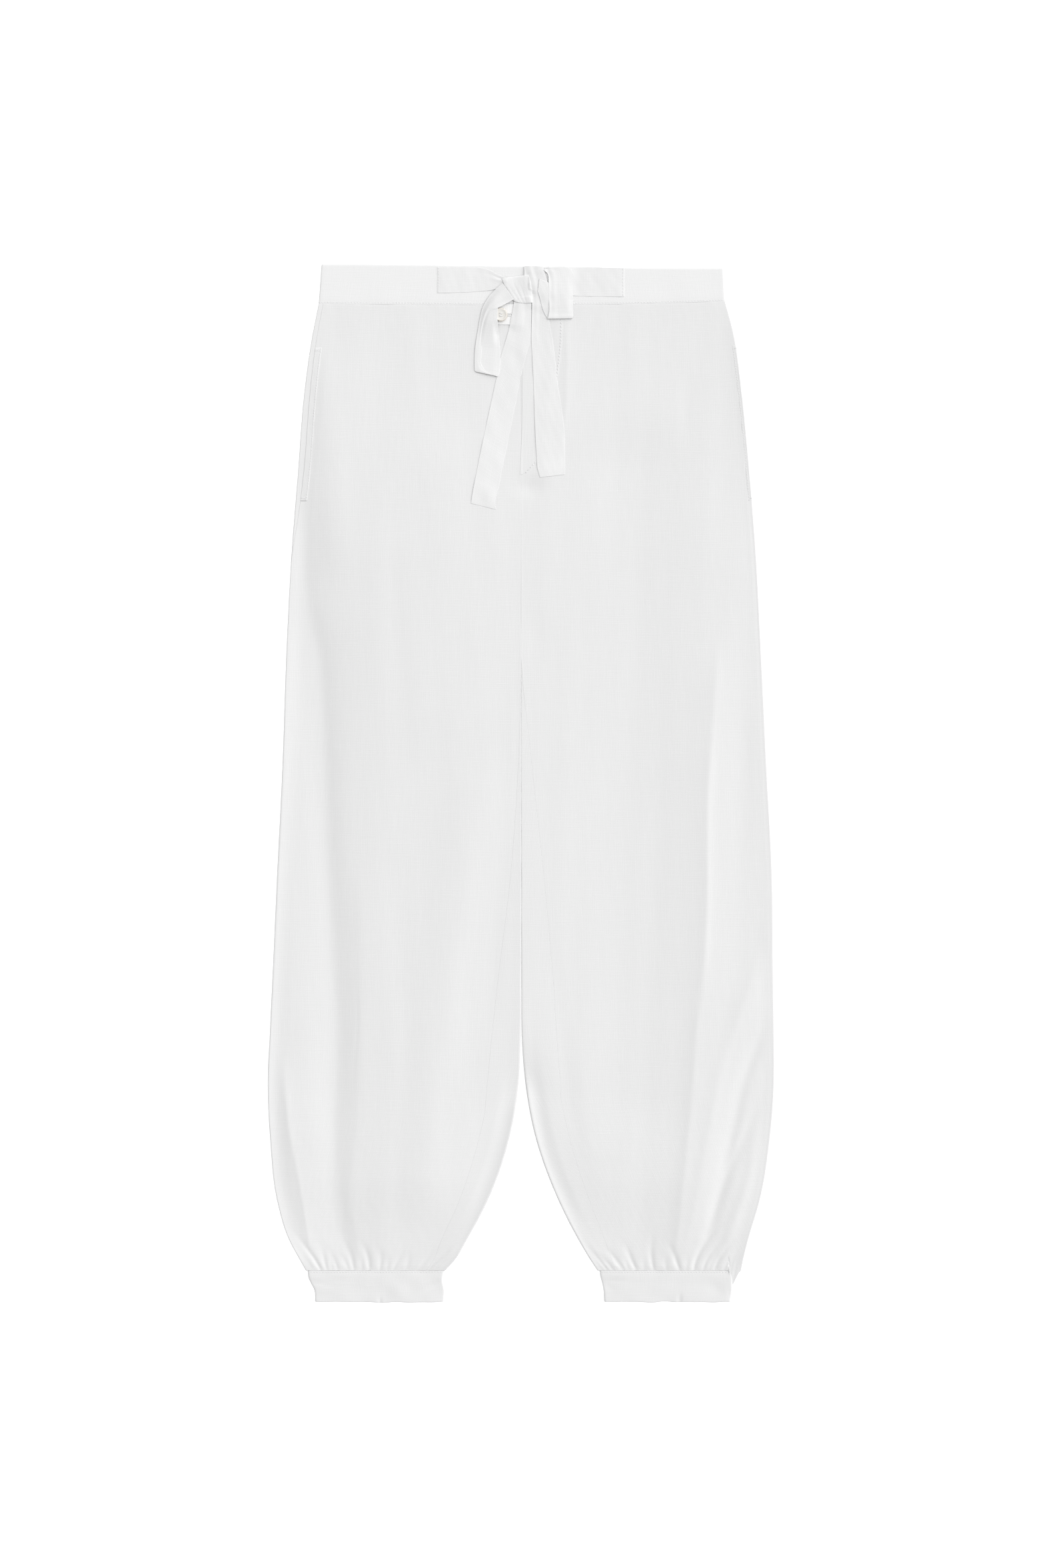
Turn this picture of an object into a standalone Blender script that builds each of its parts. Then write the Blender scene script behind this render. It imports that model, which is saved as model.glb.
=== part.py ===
"""Balloon trousers laid flat, front up, with a cloth belt tied in a bow at the waist.

The waist points to +Y, the underside rests on z = 0 and the front faces +Z. Right and left are
the wearer's, so the right leg is on -X. Tables and sizes are in millimetres, meshes in metres.
"""

import math

import bmesh
import bpy
import numpy as np
from mathutils import Vector
from mathutils.bvhtree import BVHTree

MM = 0.001

# Cloth
LEG_WALL = 1.15
BAND_WALL = 1.4  # waistband and cuffs are cut double
BELT_WALL = 1.2  # a flat tube of cloth, turned and pressed
SEAM_GAP = 0.3
LAID_LOW = 3.3  # top of the two leg layers where they lie flat on each other

# Levels along the garment
WAIST_SEAM_Y = 450.0
BAND_HEIGHT = 36.0
CROTCH_Y = 118.0
CUFF_SEAM_Y = -457.8
CUFF_HEIGHT = 29.8
OPENING_OUT = 40.0  # above the crotch the two legs join over this length

# One row for each level: distance of the outer and inner edge from the middle, height of the
# rolled edge, and how far the inseam has moved from the inner fold onto the front.
LEG_COLUMNS = ("y", "outer", "inner", "edge", "inseam")
LEG_SHAPE = {
    "right": (
        (450.0, 190.6, 0.15, 3.4, 0.0),
        (417.0, 197.0, 0.15, 4.0, 0.0),
        (367.0, 204.0, 0.15, 4.8, 0.0),
        (292.0, 210.0, 0.15, 5.2, 0.0),
        (216.0, 216.0, 0.15, 5.2, 0.0),
        (118.0, 221.0, 0.15, 5.2, 0.0),
        (16.0, 224.5, 0.15, 5.4, 3.0),
        (-85.0, 229.5, 0.15, 5.6, 10.0),
        (-185.0, 234.0, 0.15, 5.8, 22.0),
        (-243.0, 236.8, 0.4, 5.8, 28.0),
        (-270.0, 238.2, 1.3, 5.8, 30.0),
        (-335.0, 236.0, 11.0, 6.0, 33.0),
        (-392.0, 229.5, 31.0, 6.0, 31.0),
        (-429.5, 218.0, 51.0, 5.8, 27.0),
        (-448.0, 208.0, 62.0, 5.2, 23.0),
        (-457.8, 202.5, 71.0, 4.2, 20.0),
    ),
    "left": (
        (450.0, 192.0, 0.15, 3.4, 0.0),
        (417.0, 200.6, 0.15, 4.0, 0.0),
        (367.0, 207.5, 0.15, 4.8, 0.0),
        (292.0, 215.0, 0.15, 5.2, 0.0),
        (216.0, 221.0, 0.15, 5.2, 0.0),
        (118.0, 226.0, 0.15, 5.2, 0.0),
        (16.0, 231.0, 0.15, 5.4, 10.0),
        (-85.0, 236.0, 0.15, 5.6, 21.0),
        (-185.0, 237.2, 0.15, 5.8, 30.0),
        (-243.0, 238.0, 0.9, 5.8, 33.0),
        (-270.0, 238.2, 2.6, 5.8, 34.0),
        (-335.0, 234.0, 14.0, 6.0, 35.0),
        (-392.0, 224.5, 35.0, 6.0, 32.0),
        (-429.5, 213.5, 54.0, 5.8, 27.0),
        (-448.0, 209.0, 65.0, 5.2, 22.0),
        (-457.8, 207.0, 71.5, 4.2, 18.0),
    ),
}
# Where the side seam lies, in millimetres of cloth inwards from the top of the outer roll.
SIDE_SEAM = {"right": 4.0, "left": -4.2}
SIDE_SIGN = {"right": -1.0, "left": 1.0}

# Levels of the grid rows, closer where the cloth is gathered.
ROW_LEVELS = (
    450.0, 424.0, 390.0, 345.0, 290.0, 215.0, 158.0, 132.0, 118.0, 92.0, 60.0, 22.0, -30.0, -110.0,
    -195.0, -243.0, -290.0, -335.0, -375.0, -405.0, -426.0, -440.0, -450.0, -457.8,
)

# Large folds: distance from the middle and level of each point, width, and height over the lay
# (below zero is a valley).
FOLDS = {
    "right": (
        (((202, 314), (186, 216), (179, 144), (166, 52), (160, -46), (156, -145), (156, -276),
          (163, -302), (160, -427)), 8.0, -0.7),
        (((206, 60), (205, -60), (200, -200), (196, -330)), 10.0, 0.9),
        (((9, 196), (48, -79), (75, -276), (88, -407)), 12.0, 0.9),
        (((221, -338), (212, -367), (202, -421), (190, -451)), 6.0, -0.8),
    ),
    "left": (
        (((60, 250), (66, 60), (70, -160), (78, -330)), 13.0, 0.8),
        (((155, 117), (160, -20), (168, -145)), 7.0, -0.7),
        (((188, 26), (181, -79), (174, -158), (168, -210), (161, -280), (152, -338),
          (137, -424)), 7.0, 1.5),
        (((206, -290), (201, -328), (196, -361), (175, -415), (163, -455)), 6.0, 1.0),
        (((225, -276), (208, -361), (188, -407)), 7.0, -0.7),
    ),
}

# Gathers at the cuff: place across the leg (0 inner edge, 1 outer edge), reach up the leg, depth.
GATHERS = {
    "right": (
        (0.05, 30, 1.0), (0.13, 46, 1.5), (0.215, 26, 1.0), (0.30, 34, 1.2), (0.385, 44, 1.5),
        (0.46, 30, 1.3), (0.545, 52, 1.6), (0.625, 28, 1.1), (0.70, 48, 1.5), (0.785, 34, 1.3),
        (0.87, 56, 1.6), (0.945, 36, 1.2),
    ),
    "left": (
        (0.06, 34, 1.2), (0.13, 26, 1.0), (0.20, 44, 1.5), (0.285, 36, 1.3), (0.385, 56, 1.6),
        (0.47, 28, 1.1), (0.56, 48, 1.5), (0.645, 36, 1.3), (0.725, 60, 1.6), (0.80, 40, 1.4),
        (0.875, 54, 1.5), (0.945, 32, 1.1),
    ),
}
GATHER_WIDTH = 2.7  # half width of a valley at the seam
GATHER_PUFF = 0.9  # how far the cloth between valleys stands over the lay
GATHER_RISE = 7.0  # a valley is deepest this far above the cuff seam

# Cuffs: edges at the seam and at the hem, from the middle.
CUFF_EDGES = {"right": (200.5, 72.0, 194.5, 72.0), "left": (199.0, 74.0, 197.5, 78.0)}
CUFF_THICKNESS = 4.0

# Waistband
BAND_THICKNESS = 3.4
BAND_EDGES = {"right": (190.6, 188.0), "left": (192.0, 190.5)}  # at the seam, at the top
OVERLAP_EDGE_X = 2.8
UNDERLAP_X = 30.0
OVERLAP_STEP = BAND_WALL + SEAM_GAP

# Belt, bow, tab and button, each edge point as (x, y) of one side and of the other, with the
# height of the middle of the cloth over what it lies on.
LIE = SEAM_GAP + BELT_WALL / 2
OVER = LIE + BELT_WALL + 1.0
STRIP_RIGHT = (
    (-79.0, 485.6, -79.0, 460.8, LIE),
    (-60.0, 485.6, -60.0, 461.3, LIE),
    (-42.0, 485.0, -42.0, 462.2, LIE),
    (-30.0, 482.0, -30.0, 463.2, LIE + 0.6),
    (-20.6, 474.5, -20.6, 464.5, LIE + 1.4),
)
STRIP_LEFT = (
    (97.0, 484.2, 97.0, 457.4, LIE),
    (75.0, 485.0, 75.0, 457.6, LIE),
    (50.0, 485.4, 50.0, 458.0, LIE),
    (30.0, 484.0, 30.0, 459.5, LIE + 0.3),
    (13.2, 478.0, 13.2, 463.0, LIE + 1.2),
)
TAIL_RIGHT = (
    (-7.2, 450.8, 9.2, 450.8, LIE + 1.6),
    (-10.8, 430.0, 9.0, 422.0, LIE + 0.3),
    (-18.8, 402.5, 1.4, 390.0, LIE),
    (-23.5, 380.0, -5.8, 354.5, LIE),
    (-33.2, 335.0, -12.2, 322.5, LIE),
    (-41.0, 297.0, -20.2, 282.5, LIE),
    (-47.1, 262.7, -23.5, 257.0, LIE),
)
TAIL_LEFT = (
    (12.6, 458.5, 25.6, 458.5, LIE + 1.0),
    (10.2, 440.0, 26.8, 433.0, LIE + 0.2),
    (9.6, 422.0, 29.8, 415.0, LIE),
    (11.8, 380.2, 34.0, 378.0, LIE),
    (14.0, 332.0, 40.5, 330.0, LIE + 0.2),
    (15.3, 294.0, 41.4, 294.0, LIE),
    (17.2, 287.0, 40.8, 290.2, LIE),
)
LOOP_RIGHT = (
    (-22.0, 462.0, -19.6, 450.0, LIE + 1.6),
    (-26.0, 456.5, -15.0, 446.0, LIE + 0.6),
    (-33.0, 449.5, -22.4, 441.0, LIE),
    (-38.0, 436.0, -21.0, 430.0, LIE),
    (-41.5, 420.0, -20.4, 418.0, LIE),
    (-43.8, 402.0, -19.6, 400.0, LIE),
    (-44.2, 392.0, -20.6, 388.0, LIE),
    (-43.6, 386.6, -22.0, 382.6, LIE + 0.25),
    (-43.4, 385.6, -22.2, 381.6, (LIE + OVER) / 2),
    (-43.6, 386.6, -22.0, 382.6, OVER - 0.25),
    (-44.2, 392.0, -24.0, 389.0, OVER),
    (-44.0, 404.0, -30.0, 403.0, OVER),
    (-41.4, 424.0, -34.6, 424.0, OVER + 0.2),
    (-37.6, 442.0, -31.6, 439.5, OVER + 0.3),
    (-29.6, 456.6, -26.0, 451.0, OVER + 0.3),
    (-21.4, 468.0, -21.0, 459.0, OVER + 0.3),
)
LOOP_LEFT = (
    (13.0, 463.0, 13.0, 474.0, LIE + 1.2),
    (18.0, 455.0, 33.0, 466.0, LIE + 0.6),
    (20.0, 446.0, 42.0, 452.0, LIE),
    (23.0, 440.5, 46.6, 441.5, LIE),
    (24.5, 437.8, 48.8, 438.2, LIE + 0.25),
    (24.6, 436.8, 49.0, 437.2, (LIE + OVER) / 2),
    (25.0, 437.8, 49.2, 438.2, OVER - 0.25),
    (26.0, 441.5, 49.4, 442.0, OVER),
    (26.2, 456.0, 49.2, 457.0, OVER + 0.3),
    (25.8, 470.0, 48.4, 472.0, OVER + 0.3),
    (24.6, 479.0, 46.8, 483.6, OVER + 0.2),
    (19.0, 481.0, 32.0, 486.4, OVER + 0.2),
    (13.2, 477.0, 15.0, 485.4, OVER),
)
FLY = (
    (1.9, 449.0, 37.6, 449.0, SEAM_GAP + LEG_WALL / 2),
    (1.6, 411.0, 37.4, 411.0, SEAM_GAP + LEG_WALL / 2),
    (1.2, 376.0, 35.0, 376.0, SEAM_GAP + LEG_WALL / 2),
    (0.7, 336.0, 32.5, 336.0, SEAM_GAP + LEG_WALL / 2),
    (0.0, 314.0, 26.0, 316.0, SEAM_GAP + LEG_WALL / 2),
    (-0.6, 300.0, 15.0, 302.0, SEAM_GAP + LEG_WALL / 2),
    (-1.2, 289.7, 5.0, 291.5, SEAM_GAP + LEG_WALL / 2),
)
TAB = (
    (-28.0, 431.2, -28.0, 449.0, LIE),
    (-18.0, 431.0, -18.0, 449.0, LIE),
    (-8.0, 430.8, -8.0, 449.0, LIE),
    (1.2, 430.6, 1.2, 449.0, LIE),
)
POCKET_TOP_Y = 409.0
POCKET_BOTTOM_Y = 265.0
POCKET_WIDTH = 6.0
POCKET_WALL = 1.0

BUTTON_X = -19.1
BUTTON_Y = 440.2
BUTTON_RADIUS = 6.25
BUTTON_HEIGHT = 2.4
BUTTON_RIM = 1.4
BUTTON_HOLE_RADIUS = 0.8
BUTTON_HOLE_PITCH = 1.55

KNOT_CENTRE = (-4.2, 464.4)
KNOT_SIZE = (31.0, 25.0, 8.4)

FRONT_COLUMNS = 40
NOSE_STEP = 0.5
ROLL_SEAM_ROOM = 2.0  # a seam on a tight roll needs more room outside to keep some inside
EDGE_STEP = 0.5  # first step of the grid from a seam, so that both walls turn alike there

# Colours: base colour, roughness
CLOTH_BODY = ((0.86, 0.86, 0.86), 0.9)
CLOTH_BAND = ((0.89, 0.89, 0.89), 0.88)
CLOTH_BELT = ((0.89, 0.89, 0.885), 0.88)
SHELL_BUTTON = ((0.80, 0.78, 0.72), 0.25)


def clear_scene():
    for thing in list(bpy.data.objects):
        bpy.data.objects.remove(thing, do_unlink=True)


def new_collection(name, hidden=False):
    collection = bpy.data.collections.new(name)
    bpy.context.scene.collection.children.link(collection)
    collection.hide_render = hidden
    return collection


def material(name, look):
    """A Principled BSDF of one colour and roughness, made once for each name."""
    if name in bpy.data.materials:
        return bpy.data.materials[name]
    made = bpy.data.materials.new(name)
    made.use_nodes = True
    shader = made.node_tree.nodes["Principled BSDF"]
    shader.inputs["Base Color"].default_value = (*look[0], 1.0)
    shader.inputs["Roughness"].default_value = look[1]
    shader.inputs["Metallic"].default_value = 0.0
    return made


def smooth_step(value):
    """0 below 0, 1 above 1, with no corner between."""
    t = np.clip(value, 0.0, 1.0)
    return t * t * (3.0 - 2.0 * t)


def column(rows, names, name):
    return np.array([row[names.index(name)] for row in rows], float)


def through(places, values, at):
    """A smooth curve through the values, read at one place: cubic, with slopes from neighbours."""
    order = np.argsort(places)
    x, v = places[order], values[order]
    slopes = np.gradient(v, x)
    at = np.clip(at, x[0], x[-1])
    i = min(max(int(np.searchsorted(x, at)) - 1, 0), len(x) - 2)
    step = x[i + 1] - x[i]
    t = (at - x[i]) / step
    return (
        v[i] * (1 + 2 * t) * (1 - t) ** 2
        + slopes[i] * step * t * (1 - t) ** 2
        + v[i + 1] * t * t * (3 - 2 * t)
        - slopes[i + 1] * step * t * t * (1 - t)
    )


def leg_size(side, name, y):
    rows = LEG_SHAPE[side]
    return float(through(column(rows, LEG_COLUMNS, "y"), column(rows, LEG_COLUMNS, name), y))


def waist_seam_shift(x):
    """The waist seam sags a little in the middle and climbs at the left side."""
    return -0.6 + 4.0 * (x / 200.0) ** 2 * (0.35 if x < 0 else 1.0)


def fold_relief(side, across, y):
    """Height of the large folds at these distances from the middle on one level."""
    total = np.zeros_like(across)
    for path, width, height in FOLDS[side]:
        levels = np.array([point[1] for point in path], float)
        places = np.array([point[0] for point in path], float)
        centre = np.interp(y, levels[::-1], places[::-1])
        past_end = max(y - levels.max(), levels.min() - y, 0.0)
        ends = min(levels.max() - y, y - levels.min())
        strength = smooth_step(0.4 + ends / 60.0) if past_end == 0 else smooth_step(0.4 - past_end / 60.0)
        total += height * strength * np.exp(-(((across - centre) / width) ** 2))
    return total


def gather_relief(side, share, width, y):
    """Valleys between the gathers, running up from the cuff seam and fanning with the leg."""
    above = y - CUFF_SEAM_Y
    seam_width = leg_size(side, "outer", CUFF_SEAM_Y) - leg_size(side, "inner", CUFF_SEAM_Y)
    at_seam = 0.45 + 0.55 * smooth_step(above / GATHER_RISE)
    total = GATHER_PUFF * at_seam * smooth_step(1.0 - above / 75.0) * np.ones_like(share)
    for place, reach, depth in GATHERS[side]:
        fade = smooth_step(1.0 - (above - GATHER_RISE) / reach)
        spread = GATHER_WIDTH / seam_width * (1.0 + 0.5 * above / reach)
        total -= depth * at_seam * fade * np.exp(-(((share - place) / spread) ** 2))
    return total


def leg_outline(side, y):
    """The outside of one leg on one level: distance from the middle, height, and cloth length.

    It starts halfway up the inner fold, runs over the front, round the outer fold and back
    along the underside. Above the crotch the inner fold opens out flat.
    """
    outer = leg_size(side, "outer", y)
    inner = leg_size(side, "inner", y)
    edge = leg_size(side, "edge", y)
    closed = float(smooth_step(1.0 - (y - CROTCH_Y) / OPENING_OUT))
    roll = edge / 2
    quarter = np.linspace(0.0, math.pi / 2, 9)

    top_across = np.linspace(inner + roll, outer - roll, 320)
    from_outer = (outer - roll - top_across) / 13.0
    from_inner = (top_across - inner - roll) / 13.0
    lift = np.exp(-from_outer) + closed * np.exp(-from_inner)
    share = (top_across - inner) / (outer - inner)
    top = LAID_LOW + (edge - LAID_LOW) * np.minimum(lift, 1.0)
    away = smooth_step(np.minimum(from_outer, from_inner if closed > 0 else from_outer) / 0.6)
    relief = fold_relief(side, top_across, y) + gather_relief(side, share, outer - inner, y)
    top = top + relief * away

    low_limit = 2 * LEG_WALL + 0.35
    top = np.maximum(top, low_limit)
    inner_across = inner + roll * (1 - np.cos(quarter))
    inner_up = (1 - closed) * top[0] + closed * (roll + (top[0] - roll) * np.sin(quarter))
    inner_low = closed * roll * (1 - np.sin(quarter))
    outer_across = outer - roll + roll * np.cos(quarter)
    outer_up = roll + (top[-1] - roll) * np.sin(quarter)
    outer_low = roll * (1 - np.sin(quarter))
    under_across = np.linspace(outer - roll, inner + roll, 60)

    across = np.concatenate([
        inner_across, top_across[1:], outer_across[::-1][1:], outer_across[1:],
        under_across[1:], inner_across[::-1][1:],
    ])
    height = np.concatenate([
        inner_up, top[1:], outer_up[::-1][1:], outer_low[1:],
        np.zeros(59), inner_low[::-1][1:],
    ])
    length = np.concatenate([[0.0], np.cumsum(np.hypot(np.diff(across), np.diff(height)))])
    top_end = length[len(quarter) + len(top_across) - 2]
    return across, height, length, top_end


def leg_points(side, y, part):
    """One row of a leg panel, sampled along the cloth between its two seams."""
    across, height, length, top_end = leg_outline(side, y)
    inseam = leg_size(side, "inseam", y)
    side_seam = top_end - SIDE_SEAM[side]
    half_gap = (SEAM_GAP + ROLL_SEAM_ROOM / (leg_size(side, "edge", y) / 2) ** 2) / 2
    if part == "front":
        start, end = inseam + half_gap, side_seam - half_gap
        if inseam < half_gap:
            start = half_gap if y < CROTCH_Y + OPENING_OUT else 0.0
        near = np.array([0.0, EDGE_STEP, 2.4, 4.6, 7.0]) / (end - start)
        middle = np.linspace(near[-1], 1 - near[-1], FRONT_COLUMNS - 7)
        shares = np.concatenate([near, middle[1:-1], 1 - near[::-1]])
        places = start + shares * (end - start)
    else:
        start, end = side_seam + half_gap, length[-1] + inseam - half_gap
        if inseam < half_gap:
            end = length[-1] - (half_gap if y < CROTCH_Y + OPENING_OUT else 0.0)
        flat_start = top_end + 0.5 * math.pi * leg_size(side, "edge", y)
        flat_end = length[-1] - 0.25 * math.pi * leg_size(side, "edge", y)
        last = end - EDGE_STEP
        wrap = np.linspace(flat_end, last, 8) if inseam < 3.0 else np.concatenate([
            np.linspace(flat_end, length[-1] + 2.0, 5), np.linspace(length[-1] + 2.0, last, 4)[1:],
        ])
        places = np.concatenate([
            [start], np.linspace(start + EDGE_STEP, flat_start, 7),
            np.linspace(flat_start, flat_end, 6)[1:], wrap[1:], [end],
        ])
    places = np.where(places > length[-1], places - length[-1], places)
    a = np.interp(places, length, across)
    z = np.interp(places, length, height)
    x = SIDE_SIGN[side] * a
    down = smooth_step((y - 290.0) / 160.0)
    shift = np.array([waist_seam_shift(value) for value in x]) * down
    return np.column_stack([x, np.full_like(x, y) + shift, z])


def grid_faces(rows, columns, ring=False):
    faces = []
    across = columns if ring else columns - 1
    for r in range(rows - 1):
        for c in range(across):
            n = (c + 1) % columns
            faces.append((r * columns + c, r * columns + n, (r + 1) * columns + n, (r + 1) * columns + c))
    return faces


def shell(name, points, collection, look_name, look, wall, offset, ring=False, outward=None):
    """An open grid of points in millimetres as an object, given its wall by Solidify.

    outward(centre) tells which way a face should point; without it faces point up.
    """
    rows, columns = points.shape[:2]
    mesh = bpy.data.meshes.new(name)
    mesh.from_pydata((points.reshape(-1, 3) * MM).tolist(), [], grid_faces(rows, columns, ring))
    built = bmesh.new()
    built.from_mesh(mesh)
    built.normal_update()
    votes = 0.0
    for face in built.faces:
        centre = face.calc_center_median()
        aim = outward(centre) if outward else Vector((0, 0, 1))
        votes += face.normal.dot(aim) * face.calc_area()
    if votes < 0:
        bmesh.ops.reverse_faces(built, faces=built.faces[:])
    built.to_mesh(mesh)
    built.free()
    piece = bpy.data.objects.new(name, mesh)
    collection.objects.link(piece)
    mesh.materials.append(material(look_name, look))
    thickness = piece.modifiers.new("wall", "SOLIDIFY")
    thickness.thickness = wall * MM
    thickness.offset = offset
    thickness.use_even_offset = offset == 0
    thickness.thickness_clamp = 0
    mesh.shade_smooth()
    return piece


def leg_panel(side, part, collection):
    points = np.array([leg_points(side, y, part) for y in ROW_LEVELS])
    points[0, :, 1] -= SEAM_GAP / 2
    points[-1, :, 1] += SEAM_GAP / 2
    aim = Vector((0, 0, 1)) if part == "front" else Vector((0, 0, -1))
    return shell(
        f"{part}_{side}", points, collection, "leg_cloth", CLOTH_BODY, LEG_WALL, -1.0,
        outward=lambda centre: aim,
    )


def flat_ring(low, high, edge, steps):
    """A flattened ring from x = low to x = high, edge millimetres tall, seen along Y."""
    roll = edge / 2
    turn = np.linspace(-math.pi / 2, math.pi / 2, 5)
    right = np.column_stack([high - roll + roll * np.cos(turn), roll + roll * np.sin(turn)])
    top_x = np.linspace(high - roll, low + roll, steps)[1:-1]
    top = np.column_stack([top_x, np.full_like(top_x, edge)])
    left = np.column_stack([low + roll - roll * np.cos(turn[::-1]), roll + roll * np.sin(turn[::-1])])
    under = np.column_stack([top_x[::-1], np.zeros_like(top_x)])
    return np.vstack([right, top, left, under])


def cuff(side, collection):
    outer_top, inner_top, outer_hem, inner_hem = CUFF_EDGES[side]
    sign = SIDE_SIGN[side]
    top_y = CUFF_SEAM_Y - SEAM_GAP / 2
    rows = []
    for share in (0.0, 0.5, 1.0):
        outer = sign * (outer_top + (outer_hem - outer_top) * share)
        inner = sign * (inner_top + (inner_hem - inner_top) * share)
        section = flat_ring(min(outer, inner), max(outer, inner), CUFF_THICKNESS, 8)
        y = np.full(len(section), top_y - CUFF_HEIGHT * share)
        rows.append(np.column_stack([section[:, 0], y, section[:, 1]]))
    points = np.array(rows)
    middle = points.reshape(-1, 3).mean(axis=0) * MM

    def outward(centre):
        return Vector((centre.x - middle[0], 0, (centre.z - middle[2]) * 30)).normalized()

    return shell(f"cuff_{side}", points, collection, "band_cloth", CLOTH_BAND, BAND_WALL, -1.0,
                 ring=True, outward=outward)


def waistband(collection):
    """One band of double cloth, from its hidden right end round the back to its left end on top."""
    rows = []
    for share in (0.0, 0.5, 1.0):
        right = -(BAND_EDGES["right"][0] + (BAND_EDGES["right"][1] - BAND_EDGES["right"][0]) * share)
        left = BAND_EDGES["left"][0] + (BAND_EDGES["left"][1] - BAND_EDGES["left"][0]) * share
        roll = BAND_THICKNESS / 2
        turn = np.linspace(math.pi / 2, -math.pi / 2, 6)
        under_lap = np.linspace(UNDERLAP_X, right + roll, 12)
        back = np.linspace(right + roll, left - roll, 14)[1:-1]
        front_left = np.linspace(left - roll, OVERLAP_EDGE_X + 50, 7)[1:]
        lap = np.linspace(OVERLAP_EDGE_X + 50, OVERLAP_EDGE_X, 9)[1:]
        lap_rise = OVERLAP_STEP * smooth_step((OVERLAP_EDGE_X + 50 - lap) / 16.0)
        x = np.concatenate([
            under_lap, right + roll - roll * np.cos(turn[1:]), back,
            left - roll + roll * np.cos(turn[::-1]), front_left, lap,
        ])
        z = np.concatenate([
            np.full(len(under_lap), BAND_THICKNESS), roll + roll * np.sin(turn[1:]), np.zeros(len(back)),
            roll + roll * np.sin(turn[::-1]), np.full(len(front_left), BAND_THICKNESS),
            BAND_THICKNESS + lap_rise,
        ])
        seam = np.array([waist_seam_shift(value) for value in x])
        top = WAIST_SEAM_Y + BAND_HEIGHT + 1.8 - 3.8 * smooth_step((x + 190.0) / 380.0)
        low = WAIST_SEAM_Y + SEAM_GAP / 2 + seam
        rows.append(np.column_stack([x, low + (top - low) * share, z]))
    points = np.array(rows)

    def outward(centre):
        return Vector((0, 0, 1 if centre.z > BAND_THICKNESS * 0.5 * MM else -1))

    return shell("waistband", points, collection, "band_cloth", CLOTH_BAND, BAND_WALL, -1.0,
                 outward=outward)


def surface_of(pieces):
    """Search trees of the finished pieces, for reading how high the lay is at a place."""
    bpy.context.view_layer.update()
    graph = bpy.context.evaluated_depsgraph_get()
    trees = []
    for piece in pieces:
        shape = piece.evaluated_get(graph)
        mesh = shape.to_mesh()
        places = [shape.matrix_world @ vertex.co for vertex in mesh.vertices]
        trees.append(BVHTree.FromPolygons(places, [list(face.vertices) for face in mesh.polygons]))
        shape.to_mesh_clear()
    return trees


def lay_height(trees, x, y, reach):
    """Top of what lies at a place, taken over a small patch so that a stiff piece clears it."""
    highest = 0.0
    for dx in np.linspace(-reach, reach, 5):
        for dy in np.linspace(-reach, reach, 5):
            start = Vector(((x + dx) * MM, (y + dy) * MM, 0.1))
            for tree in trees:
                hit = tree.ray_cast(start, Vector((0, 0, -1)))[0]
                if hit:
                    highest = max(highest, hit.z / MM)
    return highest


def dense_rows(rows, count):
    """The table's rows with more between them, on smooth curves along its cloth."""
    table = np.array(rows, float)
    middle = (table[:, :2] + table[:, 2:4]) / 2
    step = np.linalg.norm(np.diff(middle, axis=0), axis=1) + np.abs(np.diff(table[:, 4]))
    place = np.concatenate([[0.0], np.cumsum(np.maximum(step, NOSE_STEP))])
    wanted = np.unique(np.concatenate([place, np.linspace(0, place[-1], count)]))
    keep = [wanted[0]]
    for value in wanted[1:]:
        if value - keep[-1] > NOSE_STEP * 0.9 or value in place:
            keep.append(value)
    return np.array([[through(place, table[:, c], at) for c in range(5)] for at in keep])


def ribbon(name, rows, under, collection, look_name, look, wall, count, across=4, reach=1.5):
    """A strip of cloth between two edge lines, laid on the pieces under it."""
    trees = surface_of(under)
    table = dense_rows(rows, count)
    shares = np.linspace(0.0, 1.0, across)
    points = np.zeros((len(table), across, 3))
    for r, (ax, ay, bx, by, lift) in enumerate(table):
        for c, share in enumerate(shares):
            x, y = ax + (bx - ax) * share, ay + (by - ay) * share
            points[r, c] = (x, y, lay_height(trees, x, y, reach) + lift)
    return shell(name, points, collection, look_name, look, wall, 0.0)


def pocket_mouth(side, collection):
    """The turned and stitched edge of a side pocket, on the side seam of the front panel."""
    levels = np.linspace(POCKET_TOP_Y, POCKET_BOTTOM_Y, 9)
    rows = []
    for y in levels:
        across, height, length, top_end = leg_outline(side, y)
        start = top_end - SIDE_SEAM[side] - SEAM_GAP
        places = np.linspace(start, start - POCKET_WIDTH, 4)
        a, z = np.interp(places, length, across), np.interp(places, length, height)
        slope_a = np.interp(places + 0.4, length, across) - np.interp(places - 0.4, length, across)
        slope_z = np.interp(places + 0.4, length, height) - np.interp(places - 0.4, length, height)
        size = np.hypot(slope_a, slope_z)
        out = SEAM_GAP + POCKET_WALL / 2 + 0.15
        a, z = a - slope_z / size * out, z + slope_a / size * out
        down = smooth_step((y - 290.0) / 160.0)
        x = SIDE_SIGN[side] * a
        shift = np.array([waist_seam_shift(value) for value in x]) * down
        rows.append(np.column_stack([x, y + shift, z]))
    return shell(f"pocket_mouth_{side}", np.array(rows), collection, "leg_cloth", CLOTH_BODY,
                 POCKET_WALL, 0.0)


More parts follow.
